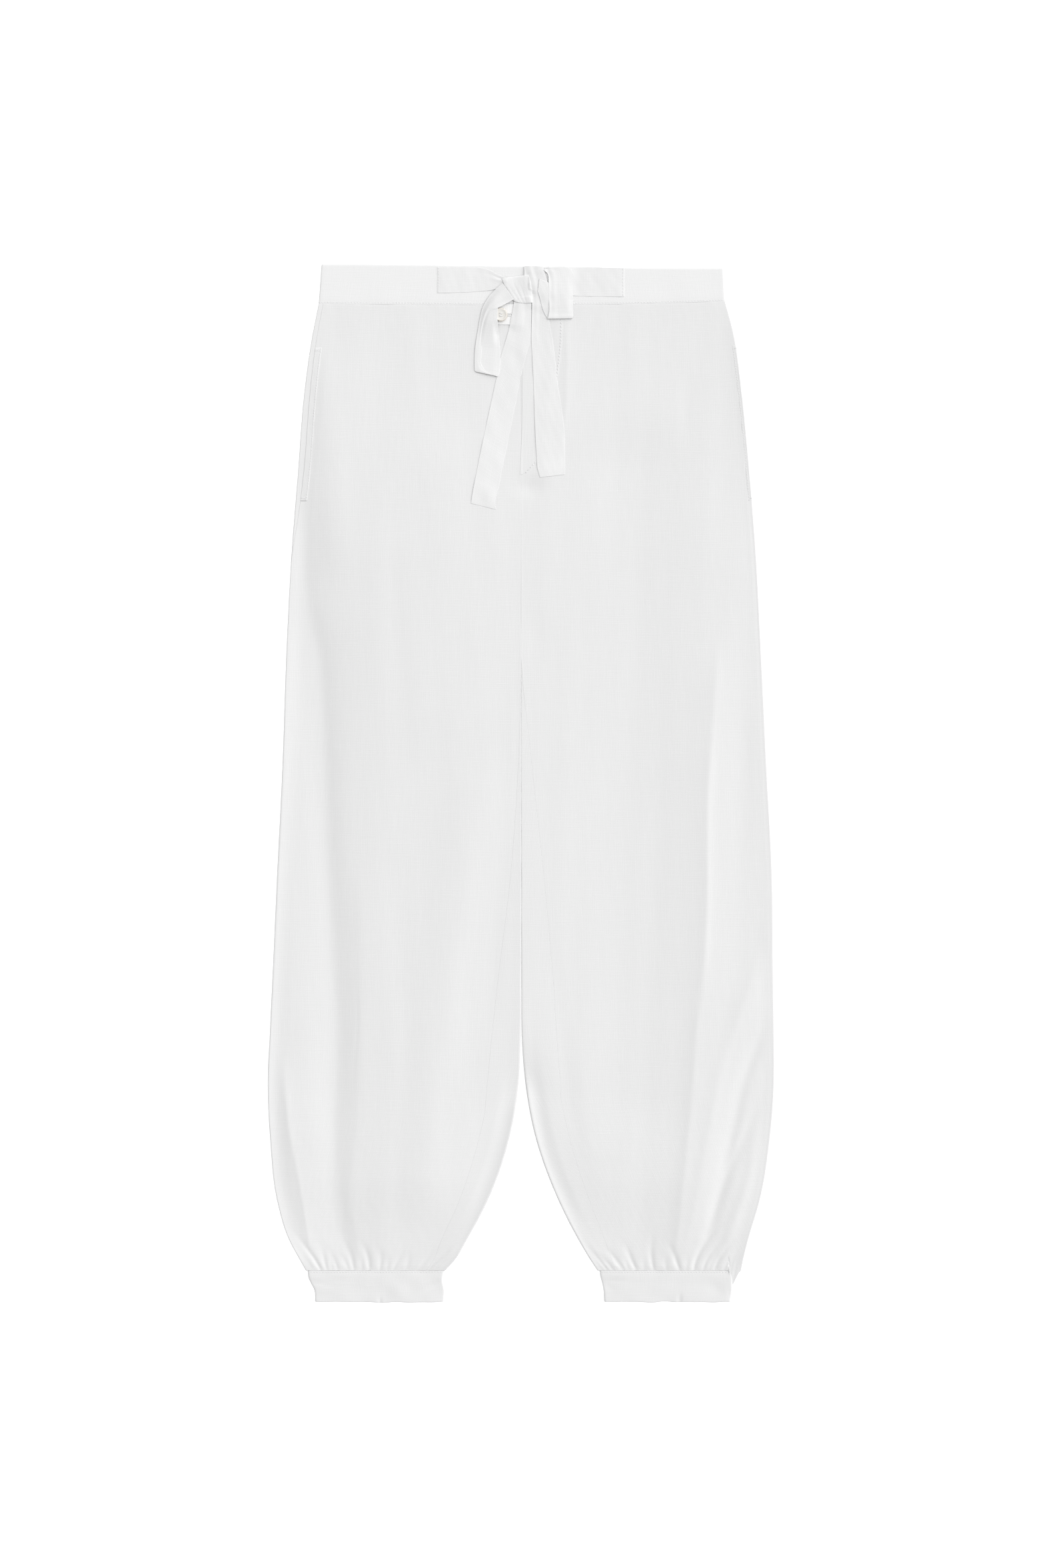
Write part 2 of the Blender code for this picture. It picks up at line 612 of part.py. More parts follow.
def knot(under, collection):
    """The wrap of the bow: a soft pillow of cloth with a fold across it."""
    trees = surface_of(under)
    cx, cy = KNOT_CENTRE
    base = lay_height(trees, cx, cy, KNOT_SIZE[0] / 2) + SEAM_GAP
    built = bmesh.new()
    bmesh.ops.create_cube(built, size=1.0)
    bmesh.ops.subdivide_edges(built, edges=built.edges[:], cuts=5, use_grid_fill=True)
    for vertex in built.verts:
        u, v, w = (2 * value for value in vertex.co)
        rounded = 1.0 - 0.10 * (u * u * v * v + v * v * w * w + w * w * u * u)
        waist = 1.0 - 0.06 * v
        x = u * rounded * waist * KNOT_SIZE[0] / 2
        y = v * rounded * KNOT_SIZE[1] / 2
        crown = 1.0 - 0.22 * (u * u + v * v) / 2
        z = (w * rounded * crown + 1.0) * KNOT_SIZE[2] / 2 if w > 0 else (w + 1.0) * KNOT_SIZE[2] / 2
        vertex.co = Vector((cx + x, cy + y, base + z)) * MM
    mesh = bpy.data.meshes.new("knot")
    bmesh.ops.recalc_face_normals(built, faces=built.faces[:])
    built.to_mesh(mesh)
    built.free()
    piece = bpy.data.objects.new("knot", mesh)
    mesh.materials.append(material("belt_cloth", CLOTH_BELT))
    collection.objects.link(piece)
    mesh.shade_smooth()
    return piece


def button(under, collection, cutters):
    """A turned button with a rim and four holes, lying on the tab."""
    base = lay_height(surface_of(under), BUTTON_X, BUTTON_Y, BUTTON_RADIUS) + SEAM_GAP
    profile = (
        (0.0, 1.5), (BUTTON_RADIUS - BUTTON_RIM - 0.9, 1.5), (BUTTON_RADIUS - BUTTON_RIM, 2.2),
        (BUTTON_RADIUS - 0.7, BUTTON_HEIGHT), (BUTTON_RADIUS, 1.7), (BUTTON_RADIUS - 0.3, 0.6),
        (BUTTON_RADIUS - 1.6, 0.0), (0.0, 0.0),
    )
    mesh = bpy.data.meshes.new("button")
    verts = [(r * MM, 0.0, z * MM) for r, z in profile]
    mesh.from_pydata(verts, [(i, i + 1) for i in range(len(verts) - 1)], [])
    piece = bpy.data.objects.new("button", mesh)
    piece.location = Vector((BUTTON_X, BUTTON_Y, base)) * MM
    mesh.materials.append(material("button_shell", SHELL_BUTTON))
    collection.objects.link(piece)
    turned = piece.modifiers.new("turned", "SCREW")
    turned.steps = turned.render_steps = 20
    turned.use_merge_vertices = True
    turned.merge_threshold = 0.00002
    turned.use_normal_calculate = True
    for index in range(4):
        turn = math.pi / 4 + index * math.pi / 2
        bpy.ops.mesh.primitive_cylinder_add(
            vertices=8, radius=BUTTON_HOLE_RADIUS * MM, depth=BUTTON_HEIGHT * 4 * MM,
            location=(
                (BUTTON_X + BUTTON_HOLE_PITCH * math.cos(turn)) * MM,
                (BUTTON_Y + BUTTON_HOLE_PITCH * math.sin(turn)) * MM,
                base * MM,
            ),
        )
        drill = bpy.context.object
        drill.name = f"button_drill_{index + 1}"
        drill.display_type = "WIRE"
        drill.hide_render = True
        for home in list(drill.users_collection):
            home.objects.unlink(drill)
        cutters.objects.link(drill)
        cut = piece.modifiers.new(f"hole_{index + 1}", "BOOLEAN")
        cut.operation = "DIFFERENCE"
        cut.object = drill
    return piece


def belt_ribbon(name, rows, under, collection, count, across=4, reach=1.5):
    return ribbon(name, rows, under, collection, "belt_cloth", CLOTH_BELT, BELT_WALL, count,
                  across=across, reach=reach)


def main():
    clear_scene()
    trousers = new_collection("balloon_trousers")
    cutters = new_collection("cutters", hidden=True)

    panels = [leg_panel(side, part, trousers) for side in ("right", "left") for part in ("front", "back")]
    for side in ("right", "left"):
        cuff(side, trousers)
        pocket_mouth(side, trousers)
    band = waistband(trousers)
    fly = ribbon("fly", FLY, panels, trousers, "leg_cloth", CLOTH_BODY, LEG_WALL, 10, across=6)
    ground = panels + [band, fly]
    tab = ribbon("button_tab", TAB, panels, trousers, "band_cloth", CLOTH_BAND, BELT_WALL, 4)
    disc = button([tab], trousers, cutters)
    strip_right = belt_ribbon("tie_right", STRIP_RIGHT, [band], trousers, 8)
    strip_left = belt_ribbon("tie_left", STRIP_LEFT, [band], trousers, 8)
    knot([band], trousers)
    tail_right = belt_ribbon("tail_right", TAIL_RIGHT, ground + [tab], trousers, 18, reach=6.0)
    tail_left = belt_ribbon("tail_left", TAIL_LEFT, ground, trousers, 16, reach=6.0)
    belt_ribbon("loop_right", LOOP_RIGHT, ground + [tab, disc, tail_right, strip_right], trousers, 18, reach=6.0)
    belt_ribbon("loop_left", LOOP_LEFT, ground + [strip_left, tail_left], trousers, 18, reach=6.0)


main()
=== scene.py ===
import math

import bmesh
import bpy
import numpy as np
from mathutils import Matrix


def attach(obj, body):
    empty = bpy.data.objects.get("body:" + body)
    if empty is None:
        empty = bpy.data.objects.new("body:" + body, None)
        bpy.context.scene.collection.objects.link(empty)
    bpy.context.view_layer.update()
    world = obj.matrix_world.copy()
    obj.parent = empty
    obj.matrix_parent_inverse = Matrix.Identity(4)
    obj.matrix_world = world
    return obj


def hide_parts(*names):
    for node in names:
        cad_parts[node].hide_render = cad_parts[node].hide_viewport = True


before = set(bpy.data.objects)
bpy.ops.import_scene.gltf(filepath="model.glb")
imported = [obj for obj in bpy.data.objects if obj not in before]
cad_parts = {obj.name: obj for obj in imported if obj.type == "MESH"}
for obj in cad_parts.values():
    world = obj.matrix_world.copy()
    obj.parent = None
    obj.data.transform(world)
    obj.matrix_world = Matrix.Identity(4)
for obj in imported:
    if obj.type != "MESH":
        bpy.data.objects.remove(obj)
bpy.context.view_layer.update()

mm = 0.001
sides = ("right", "left")  # the wearer's, so the right leg is on -X
sideSign = {"right": -1.0, "left": 1.0}

# small tools

upwards = np.array([0.0, 0.0, 1.0])


def smoothStep(value):
    # 3t^2 - 2t^3, flat at both ends
    t = np.clip(value, 0.0, 1.0)
    return t * t * (3.0 - 2.0 * t)


def bell(distance, width):
    # exp(-(d / w)^2)
    return np.exp(-((distance / width) ** 2))


def hollow(across, along, wide, tall):
    # exp(-(a / w)^2 - (l / t)^2)
    return np.exp(-((across / wide) ** 2) - (along / tall) ** 2)


def throughCurve(places, values, at):
    # cubic through the table values, the slope at each from its neighbours
    order = np.argsort(places)
    x, v = np.asarray(places, float)[order], np.asarray(values, float)[order]
    slopes = np.gradient(v, x, axis=0)
    at = np.clip(at, x[0], x[-1])
    i = np.clip(np.searchsorted(x, at) - 1, 0, len(x) - 2)
    step = x[i + 1] - x[i]
    t = (at - x[i]) / step
    if v.ndim > 1:
        step, t = step[..., None], t[..., None]
    return (
        v[i] * (1 + 2 * t) * (1 - t) ** 2 + slopes[i] * step * t * (1 - t) ** 2
        + v[i + 1] * t * t * (3 - 2 * t) - slopes[i + 1] * step * t * t * (1 - t)
    )


def softNoise(x, y, seed, sizeX, sizeY, count=16):
    # sum of cosines with seeded directions, about -1 to 1
    random = np.random.default_rng(seed)
    waves = zip(random.normal(0, 1 / sizeX, count), random.normal(0, 1 / sizeY, count),
                random.uniform(0, 2 * math.pi, count))
    total = np.zeros(np.broadcast(x, y).shape)
    for a, b, turn in waves:
        total += np.cos(2 * math.pi * (a * x + b * y) + turn)
    return total / math.sqrt(count)


def rowInterp(places, lengths, values):
    # one linear interpolation for each row
    return np.array([np.interp(p, s, v) for p, s, v in zip(places, lengths, values)])


def gridNormals(points, outward):
    # cross product of the two grid directions, turned to agree with the outward direction
    rows = np.gradient(points, axis=0)
    columns = np.gradient(points, axis=1)
    normal = np.cross(rows, columns)
    normal /= np.maximum(np.linalg.norm(normal, axis=2, keepdims=True), 1e-12)
    if (normal * outward).sum() < 0:
        normal = -normal
    return normal


def placed(name, data):
    # an object at the origin, in the scene
    made = bpy.data.objects.new(name, data)
    bpy.context.scene.collection.objects.link(made)
    return made


def gridObject(name, points, normals, uv, wall=0.0, ring=False):
    # quads between neighbouring points of the grid, in metres, facing along the normals
    rowCount, columnCount = points.shape[:2]
    r, c = np.meshgrid(np.arange(rowCount - 1), np.arange(columnCount - (not ring)), indexing="ij")
    n = (c + 1) % columnCount
    quads = np.stack([r * columnCount + c, r * columnCount + n,
                      (r + 1) * columnCount + n, (r + 1) * columnCount + c], axis=-1).reshape(-1, 4)
    flat = points.reshape(-1, 3) * mm
    a, b, d = flat[quads[:, 0]], flat[quads[:, 1]], flat[quads[:, 3]]
    if (np.cross(b - a, d - a) * normals.reshape(-1, 3)[quads[:, 0]]).sum() < 0:
        quads = quads[:, ::-1]
    mesh = bpy.data.meshes.new(name)
    mesh.from_pydata(flat.tolist(), [], quads.tolist())
    layer = mesh.uv_layers.new(name="cloth")
    loops = np.empty(len(mesh.loops), np.int32)
    mesh.loops.foreach_get("vertex_index", loops)
    layer.data.foreach_set("uv", (uv.reshape(-1, 2) * mm)[loops].ravel().astype(np.float32))
    mesh.shade_smooth()
    piece = placed(name, mesh)
    if wall:
        solid = piece.modifiers.new("wall", "SOLIDIFY")
        solid.thickness = wall * mm
        solid.offset = -1.0
    return piece


def fillHoles(piece, merge=0.0):
    # closes the open ends of a mesh, after joining points that are closer than merge
    built = bmesh.new()
    built.from_mesh(piece.data)
    if merge:
        bmesh.ops.remove_doubles(built, verts=built.verts[:], dist=merge)
    bmesh.ops.holes_fill(built, edges=[edge for edge in built.edges if edge.is_boundary], sides=0)
    built.to_mesh(piece.data)
    built.free()


def eachColumn(column, grid):
    # the column's values in every column of the grid
    return np.repeat(np.reshape(column, (-1, 1)), grid.shape[1], axis=1)


def lengthAcross(points):
    # running length of cloth along each row of the grid
    return np.cumsum(np.linalg.norm(np.diff(points, axis=1, prepend=points[:, :1]), axis=2), axis=1)


def lengthDown(points):
    # running length of cloth down the middle column
    middle = points[:, points.shape[1] // 2]
    run = np.cumsum(np.linalg.norm(np.diff(middle, axis=0, prepend=middle[:1]), axis=1))
    return eachColumn(run, points)


# materials

clothLook = {
    "yarn": 0.00052,  # metres from thread to thread
    "body": (0.787, 0.787, 0.787),
    "band": (0.835, 0.835, 0.835),
    "belt": (0.818, 0.818, 0.818),
    "tab": (0.900, 0.900, 0.900),
    "between": 0.972,  # painted shade between the raised thick yarns, as a share of the colour on them
    "bumpDepth": 0.00013,
    "sheen": 0.12,
}
# dark: painted shade in the grooves between the thread's plies
threadLook = {"dark": (0.82, 0.82, 0.82), "pale": (0.90, 0.90, 0.90), "bands": 900.0, "bumpDepth": 0.0001}
buttonLook = {
    "pale": (0.80, 0.79, 0.76),
    "deep": (0.76, 0.73, 0.68),
    # the rim colour is painted shade: a darker brown over the button's rounded rim
    "rim": (0.71, 0.65, 0.57),
    "middle": (-0.0191, 0.4402, 0.0),
    "rimShade": (0.0052, 0.0062),  # distances from the middle between which the rim's painted shade comes in
    "bumpDepth": 0.00008,
}


def feed(tree, node, sockets):
    # each socket gets its value, or a link where the value is another node's output
    for name, value in sockets.items():
        if isinstance(value, bpy.types.NodeSocket):
            tree.links.new(value, node.inputs[name])
        else:
            node.inputs[name].default_value = value


def addNode(tree, kind, sockets, **settings):
    node = tree.nodes.new("ShaderNode" + kind)
    for name, value in settings.items():
        setattr(node, name, value)
    feed(tree, node, sockets)
    return node.outputs


def newMaterial(name):
    material = bpy.data.materials.new(name)
    material.use_nodes = True
    return material, material.node_tree, material.node_tree.nodes["Principled BSDF"]


def colourRamp(tree, factor, *stops):
    # from one colour to another, each at its place on the ramp
    ramp = addNode(tree, "ValToRGB", {"Fac": factor})["Color"]
    for element, (place, colour) in zip(ramp.node.color_ramp.elements, stops):
        element.position = place
        element.color = (*colour, 1.0)
    return ramp


def between(tree, value, low, high):
    # 0 to 1 becomes low to high
    return addNode(tree, "MapRange", {"Value": value, "To Min": low, "To Max": high})["Result"]


def wovenGroup():
    # plain weave: sine over warp times sine over weft, with thick yarns (slubs) running both ways
    group = bpy.data.node_groups.new("wovenCloth", "ShaderNodeTree")
    group.interface.new_socket(name="Vector", in_out="INPUT", socket_type="NodeSocketVector")
    group.interface.new_socket(name="Yarn", in_out="INPUT", socket_type="NodeSocketFloat")
    for name in ("Height", "Shade", "Slub"):
        group.interface.new_socket(name=name, in_out="OUTPUT", socket_type="NodeSocketFloat")
    inside = group.nodes.new("NodeGroupInput").outputs
    outside = group.nodes.new("NodeGroupOutput")

    def calc(operation, *terms):
        return addNode(group, "Math", dict(enumerate(terms)), operation=operation)[0]

    def noise(scaleX, scaleY, detail=2.0):
        place = addNode(group, "VectorMath", {0: inside["Vector"], 1: (scaleX, scaleY, 1.0)},
                        operation="MULTIPLY")
        return addNode(group, "TexNoise", {"Vector": place[0], "Scale": 1.0, "Detail": detail})["Fac"]

    split = addNode(group, "SeparateXYZ", {0: inside["Vector"]})
    turn = calc("DIVIDE", math.pi, inside["Yarn"])
    wander = calc("MULTIPLY", noise(160.0, 160.0), 2.2)
    warp, weft = (calc("SINE", calc("ADD", calc("MULTIPLY", split[axis], turn), wander)) for axis in "XY")
    slub = calc("ADD", calc("POWER", noise(1500.0, 45.0), 3.0), calc("POWER", noise(38.0, 1400.0), 3.0))
    height = calc("ADD", calc("MULTIPLY", calc("MULTIPLY", warp, weft), 0.22), calc("MULTIPLY", slub, 1.6))
    # Shade: painted shade between the raised thick yarns (slubs), with random mottling mixed in
    shade = calc("ADD", calc("MULTIPLY", slub, 0.75), calc("MULTIPLY", noise(22.0, 12.0, 3.0), 0.25))
    feed(group, outside, {"Height": height, "Shade": shade, "Slub": slub})
    return group


weave = wovenGroup()


def clothMaterial(name, colour):
    # the weave gives the roughness, the relief and the shade: painted shade between the raised thick yarns,
    # with random mottling
    material, tree, shader = newMaterial(name)
    place = addNode(tree, "UVMap", {}, uv_map="cloth")
    woven = addNode(tree, "Group", {"Vector": place["UV"], "Yarn": clothLook["yarn"]}, node_tree=weave)
    # darker where Shade is low: painted shade between the raised thick yarns
    lower = [part * clothLook["between"] for part in colour]
    feed(tree, shader, {
        "Base Color": colourRamp(tree, woven["Shade"], (0.12, lower), (0.52, colour)),
        "Roughness": between(tree, woven["Slub"], 0.95, 0.80),
        "Normal": addNode(tree, "Bump", {"Strength": 0.55, "Distance": clothLook["bumpDepth"],
                                         "Height": woven["Height"]})["Normal"],
        "Sheen Weight": clothLook["sheen"], "Sheen Roughness": 0.6, "Specular IOR Level": 0.25,
    })
    return material


def threadMaterial():
    # sewing thread: two plies that wind round it, seen as slanting bands; the dark bands are painted shade in
    # the grooves between the plies
    material, tree, shader = newMaterial("sewingThread")
    place = addNode(tree, "TexCoord", {})["Object"]
    bands = addNode(tree, "TexWave", {"Vector": place, "Scale": threadLook["bands"]},
                    bands_direction="DIAGONAL")["Fac"]
    feed(tree, shader, {
        "Base Color": colourRamp(tree, bands, (0.0, threadLook["dark"]), (1.0, threadLook["pale"])),
        "Normal": addNode(tree, "Bump", {"Distance": threadLook["bumpDepth"], "Height": bands})["Normal"],
        "Roughness": 0.6,
    })
    return material


def shellMaterial():
    # cut shell: cloudy layers under a polished coat; painted shade, a darker brown, lies over the rounded rim
    # at the edge, by distance from the button's axis
    material, tree, shader = newMaterial("buttonShell")
    place = addNode(tree, "TexCoord", {})["Object"]
    layers = addNode(tree, "TexNoise", {"Vector": place, "Scale": 260.0, "Detail": 4.0,
                                        "Distortion": 1.2})["Fac"]
    flat = addNode(tree, "VectorMath", {0: place, 1: (1.0, 1.0, 0.0)}, operation="MULTIPLY")[0]
    outwards = addNode(tree, "VectorMath", {0: flat, 1: buttonLook["middle"]}, operation="DISTANCE")["Value"]
    low, high = buttonLook["rimShade"]
    # share of painted shade over the rounded rim, by distance from the button's axis
    rimShade = addNode(tree, "MapRange", {"Value": outwards, "From Min": low, "From Max": high})["Result"]
    cloudy = colourRamp(tree, layers, (0.32, buttonLook["deep"]), (0.60, buttonLook["pale"]))
    feed(tree, shader, {
        "Base Color": addNode(tree, "MixRGB", {"Fac": rimShade, "Color1": cloudy,
                                               "Color2": (*buttonLook["rim"], 1.0)})["Color"],
        "Roughness": between(tree, layers, 0.30, 0.46),
        "Normal": addNode(tree, "Bump", {"Distance": buttonLook["bumpDepth"], "Height": layers})["Normal"],
        "Specular IOR Level": 0.35, "Coat Weight": 0.15, "Coat Roughness": 0.25,
    })
    return material


bodyCloth = clothMaterial("legCloth", clothLook["body"])
bandCloth = clothMaterial("bandCloth", clothLook["band"])
beltCloth = clothMaterial("beltCloth", clothLook["belt"])
tabCloth = clothMaterial("tabCloth", clothLook["tab"])
thread = threadMaterial()
shellGloss = shellMaterial()
print("materials made")


def dress(piece, material, slotName, *nodes):
    piece.data.materials.append(material)
    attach(piece, "root")
    if nodes:
        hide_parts(*nodes)
    return piece


# legs

legs = {
    "clothWall": 0.45,
    "laidLow": 3.3,  # top of the two leg layers where they lie flat
    "waistSeamY": 450.0,
    "crotchY": 118.0,
    "openingOut": 40.0,  # height above the crotch over which the inner folds open into one front
    "cuffSeamY": -457.8,
    "seamGap": 0.014,
    "touch": (0.01, 6.0),  # inner edge where the legs touch, and how much further they stand apart
    "outerRound": 0.22,  # width of the outer fold's rounding as a share of its height
    "edgeReach": 13.0,  # how far in from an edge its rolled height is felt
    "foldFade": (1.4, 0.8),  # where folds fade at the outer and inner edge, in edge reaches
    "lowest": (2.45, 0.55),  # the front stays over the back: height, and softness of that limit
    "innerRoll": (0.05, 1.0),  # how far the inner fold rounds inwards, where the legs touch and apart
    "innerRise": {"right": 1.6, "left": 0.0},  # extra height of the inner fold where the legs stand apart
    "innerLip": {"right": (0.32, 5.0), "left": (0.0, 3.0)},  # rise of each fold where they touch, reach
    "innerMeet": 0.99,  # how far up the touching folds are pressed together
    "air": 5.0,  # how far the front stands off the back between the edges
    "airTop": (440.0, 240.0),  # level below which the air comes in, and over what height
    "airFoot": 90.0,  # height above the cuff over which it goes out again
    "airOut": {"right": 0.5, "left": 0.68},  # share of it near the outer edge
    "airIn": 0.65,  # and near the inner edge where the legs stand apart
    "airEdge": 2.6,  # how far those shares reach, in edge reaches
    "airStart": {"right": 1.4, "left": 0.3},
    "seamDip": 0.05,
    "allowance": 8.0,  # width of the seam allowance that shows as a low ridge
    "ripple": 0.12,
    "hang": (195.4, 11.2, 16.0),  # the left leg's wedge beside the cuff: where it starts, width, drop
    "hangSink": 0.22,  # and how much lower it lies
    "samples": (520, 300, 11),  # points over the front, over the underside and round a quarter turn
}
# y, outer and inner edge from the middle, height of the rolled edge, inseam inwards of the fold
legTable = {
    "right": np.array((
        (450, 190.6, 0.01, 3.4, 0), (417, 197, 0.01, 3.8, 0), (367, 204, 0.01, 3.9, 0),
        (292, 210, 0.01, 3.9, 0), (216, 216, 0.01, 4.2, 0), (118, 221, 0.01, 4.6, 0),
        (16, 224.5, 0.01, 5.2, 3), (-85, 229.5, 0.01, 5.4, 10), (-185, 234, 0.01, 5.5, 22),
        (-243, 236.8, 0.4, 5.5, 28), (-270, 238.2, 1.3, 5.5, 30), (-335, 236, 11, 5.4, 33),
        (-392, 229.5, 31, 5.3, 31), (-429.5, 218, 51, 5.2, 27), (-448, 208, 62, 5.2, 23),
        (-457.8, 202.5, 71, 4.2, 20),
    )),
    "left": np.array((
        (450, 192, 0.01, 3.4, 0), (417, 200.6, 0.01, 4.8, 0), (367, 207.5, 0.01, 6, 0),
        (292, 215, 0.01, 6.6, 0), (216, 221, 0.01, 6.9, 0), (118, 226, 0.01, 7, 0),
        (16, 231, 0.01, 7.1, 10), (-85, 236, 0.01, 7.3, 21), (-185, 237.2, 0.01, 7.6, 30),
        (-243, 238, 0.9, 7.7, 33), (-270, 238.2, 2.6, 7.7, 34), (-335, 234, 14, 7.6, 35),
        (-392, 224.5, 35, 7, 32), (-429.5, 213.5, 54, 6.3, 27), (-448, 209, 65, 5.3, 22),
        (-457.8, 207, 71.5, 4.2, 18),
    )),
}
# cloth inwards from the top of the outer roll to the side seam, by level
sideSeam = {"right": ((450, 4), (262, 4), (200, -0.6), (130, -2.6), (-400, -2.8), (-458, -2.2)),
            "left": ((450, -1.8), (420, -2.2), (367, -2.8), (216, -3.2), (-400, -3.2), (-458, -2.2))}
# each fold: its path as (distance from the middle, y), reach inwards and outwards, height, and the
# rounding of its line; a fold with no rounding given is a soft bell
legFolds = {
    "right": (
        # the long valley from the pocket down the leg, with a broad bank outside it
        (((217, 262), (211, 222), (203, 180), (193, 110), (188, 40), (184, -61), (178, -161), (174, -227),
          (176, -327), (176, -393), (168, -430), (158, -456)), 19, 24, -2.6, 6),
        (((199, 150), (193, 110), (188, 40), (184, -61), (178, -161), (174, -227), (176, -320)),
         18, 26, -2.6, 6),
        (((182, 400), (181, 330), (179, 262), (174, 200)), 40, 15, 1.1),
        (((176, -310), (172, -360), (166, -430)), 20, 12, -1, 3),
        (((152, -90), (150, -161), (150.7, -227), (154.6, -327), (160, -393), (155, -425), (146, -456)),
         24, 11, 0.9, 3),
        (((155, -192), (154, -230), (157, -268)), 1.2, 1.2, -0.2),
        (((38, 24), (47, -50), (58, -123), (69, -182), (78, -249), (87, -315), (93, -401)),
         22, 30, 1.9),
        (((70, 330), (70, 200), (66, 100), (60, 30)), 42, 60, 1.3),
        (((132, 300), (132, 120), (126, -60)), 12, 18, 0.4),
        # the outer strip above the cuff falls away to the edge beyond a sharp line
        (((224, -270), (217, -330), (209, -372), (198, -440)), 14, 7, 1.4, 0.8),
        (((86, 440), (90, 360), (92, 260)), 26, 42, 0.5),
        (((16, -60), (24, -150), (32, -230)), 9, 9, -0.3),
        (((118, -200), (124, -330), (130, -430)), 9, 14, 0.4),
    ),
    "left": (
        (((36, 446), (36, 400), (34, 330), (30, 300)), 12, 28, 0.5),
        (((66, 300), (68, 240), (72, 150)), 14, 22, 0.3),
        (((112, 330), (112, 200), (110, 120), (106, -60), (104, -216), (102, -330)), 60, 46, -2),
        (((166, 420), (164, 330), (162, 240), (162, 190)), 22, 40, 0.35),
        (((184, 120), (180, 60), (176, 4), (174, -128), (170, -200)), 16, 8, 1.5, 2),
        (((179, 40), (176, 4), (174, -128), (171, -180)), 12, 5, 0.7, 1),
        # the fly's inner layer shows as a low ridge beside its stitches
        (((43, 446), (43, 380), (41, 340), (36, 318)), 6, 9, 0.8, 0.8),
        (((208, 60), (209, -60), (206, -200)), 12, 12, -0.5),
        (((169, -190), (164, -245), (160, -300), (154, -360), (147, -425), (142, -455)), 9, 16, 1.7, 2),
        (((222, -170), (212, -200), (190, -260), (177, -327), (164, -393), (154, -440)), 11, 24, 1.6, 3),
        (((230, -230), (212, -270), (200, -320), (190, -368), (176, -420)), 7, 6, -1.2),
        (((219, -308), (206, -341), (189, -381), (174.6, -427), (164, -455)), 4.5, 6, -0.9),
        (((222, -328), (215.6, -368), (199, -414), (189, -441)), 6, 7, 0.9),
        (((172, 448), (142, 424.5), (138, 414)), 5, 5, -0.35),
        (((155.5, 386), (156, 323)), 7, 7, -0.35),
        (((30, -150), (38, -240), (50, -320), (62, -390)), 10, 8, -0.3),
    ),
}
# similar folds under the garment, which rests on them: each is a shallow hollow
backFolds = {
    "right": (
        (((60, 380), (66, 240), (70, 60)), 12, 9, 0.5), (((140, 300), (150, 60), (146, -180)), 9, 13, 0.6),
        (((90, 20), (98, -200), (104, -420)), 8, 11, 0.7),
        (((185, -60), (178, -260), (160, -450)), 7, 9, 0.8),
        (((40, -120), (70, -330), (92, -455)), 7, 6, 0.6),
    ),
    "left": (
        (((70, 400), (62, 200), (66, 20)), 10, 12, 0.5), (((150, 260), (144, 40), (152, -160)), 11, 8, 0.6),
        (((100, -20), (92, -220), (100, -430)), 9, 9, 0.7),
        (((192, -90), (180, -290), (166, -450)), 8, 7, 0.8),
        (((46, -100), (66, -300), (90, -455)), 6, 8, 0.6),
    ),
}
# small hollows of the front: x, y, half width, half height, depth
frontDents = (
    (8, 277, 13, 8, 1), (20, 291, 11, 7, -0.6), (-8, 292, 7, 9, 0.15),
    (13, 141, 12, 24, 0.35),
)
# gathers at the cuff: place across (0 inner, 1 outer), reach up the leg, depth, lean outwards
legGathers = {
    "right": (
        (0.04, 24, 1, -9), (0.085, 18, 0.8, -7), (0.132, 27, 1.25, -11), (0.20, 20, 0.8, -4),
        (0.29, 14, 0.6, 2), (0.376, 18, 0.85, -3), (0.42, 12, 0.6, 2), (0.471, 22, 1, 3),
        (0.547, 28, 1.5, 6), (0.60, 14, 0.7, 0), (0.657, 38, 1.5, 7), (0.695, 16, 0.8, 5),
        (0.77, 21, 0.9, 3), (0.81, 12, 0.6, -2), (0.848, 26, 1.1, -3), (0.893, 44, 1.6, 11),
        (0.95, 30, 1.1, 9),
    ),
    "left": (
        (0.032, 22, 1.1, -4), (0.07, 30, 1.2, -8), (0.11, 14, 0.9, -3), (0.18, 20, 1.3, -4),
        (0.22, 12, 0.6, 2), (0.27, 28, 1.4, 0), (0.33, 12, 0.5, 3), (0.393, 36, 1.3, 7),
        (0.48, 13, 0.6, 2), (0.569, 27, 1.6, -5), (0.62, 14, 0.6, 4), (0.671, 52, 1.8, 26),
        (0.736, 36, 1.2, 20), (0.775, 16, 0.6, 7), (0.814, 34, 1.1, 18), (0.879, 26, 1, 14),
        (0.939, 32, 1.1, 11),
    ),
}
gathers = {"span": 133.0, "width": 1.8, "puff": 0.9, "rise": 5.0, "puffReach": 75.0, "depth": 0.8}


def legSizes(side, y):
    table = legTable[side]
    return throughCurve(table[:, 0], table[:, 1:], y).T[:, :, None]


def waistShift(x):
    # the waist seam sags in the middle and climbs at the left
    return -0.6 + 4.0 * (x / 200.0) ** 2 * np.where(x < 0, 0.35, 1.0)


def foldRelief(folds, across, y):
    # a curve across each path, fading at the two ends of the path
    total = np.zeros(across.shape)
    for path, inward, outward, height, *rounding in folds:
        path = np.array(path, float)
        centre = throughCurve(path[:, 1], path[:, 0], y)
        top, low = path[:, 1].max(), path[:, 1].min()
        past = np.maximum(np.maximum(y - top, low - y), 0.0)
        inside = np.minimum(top - y, y - low)
        strength = np.where(past > 0, smoothStep(0.4 - past / 60.0), smoothStep(0.4 + inside / 60.0))
        away = across - centre
        reach = np.where(away > 0, outward, inward)
        # bell exp(-(d/r)^2), or a line rounded by c: exp(-(root(d^2 + c^2) - c)/r)
        if rounding:
            total += height * strength * np.exp(-(np.sqrt(away**2 + rounding[0] ** 2) - rounding[0]) / reach)
        else:
            total += height * strength * bell(away, reach)
    return total


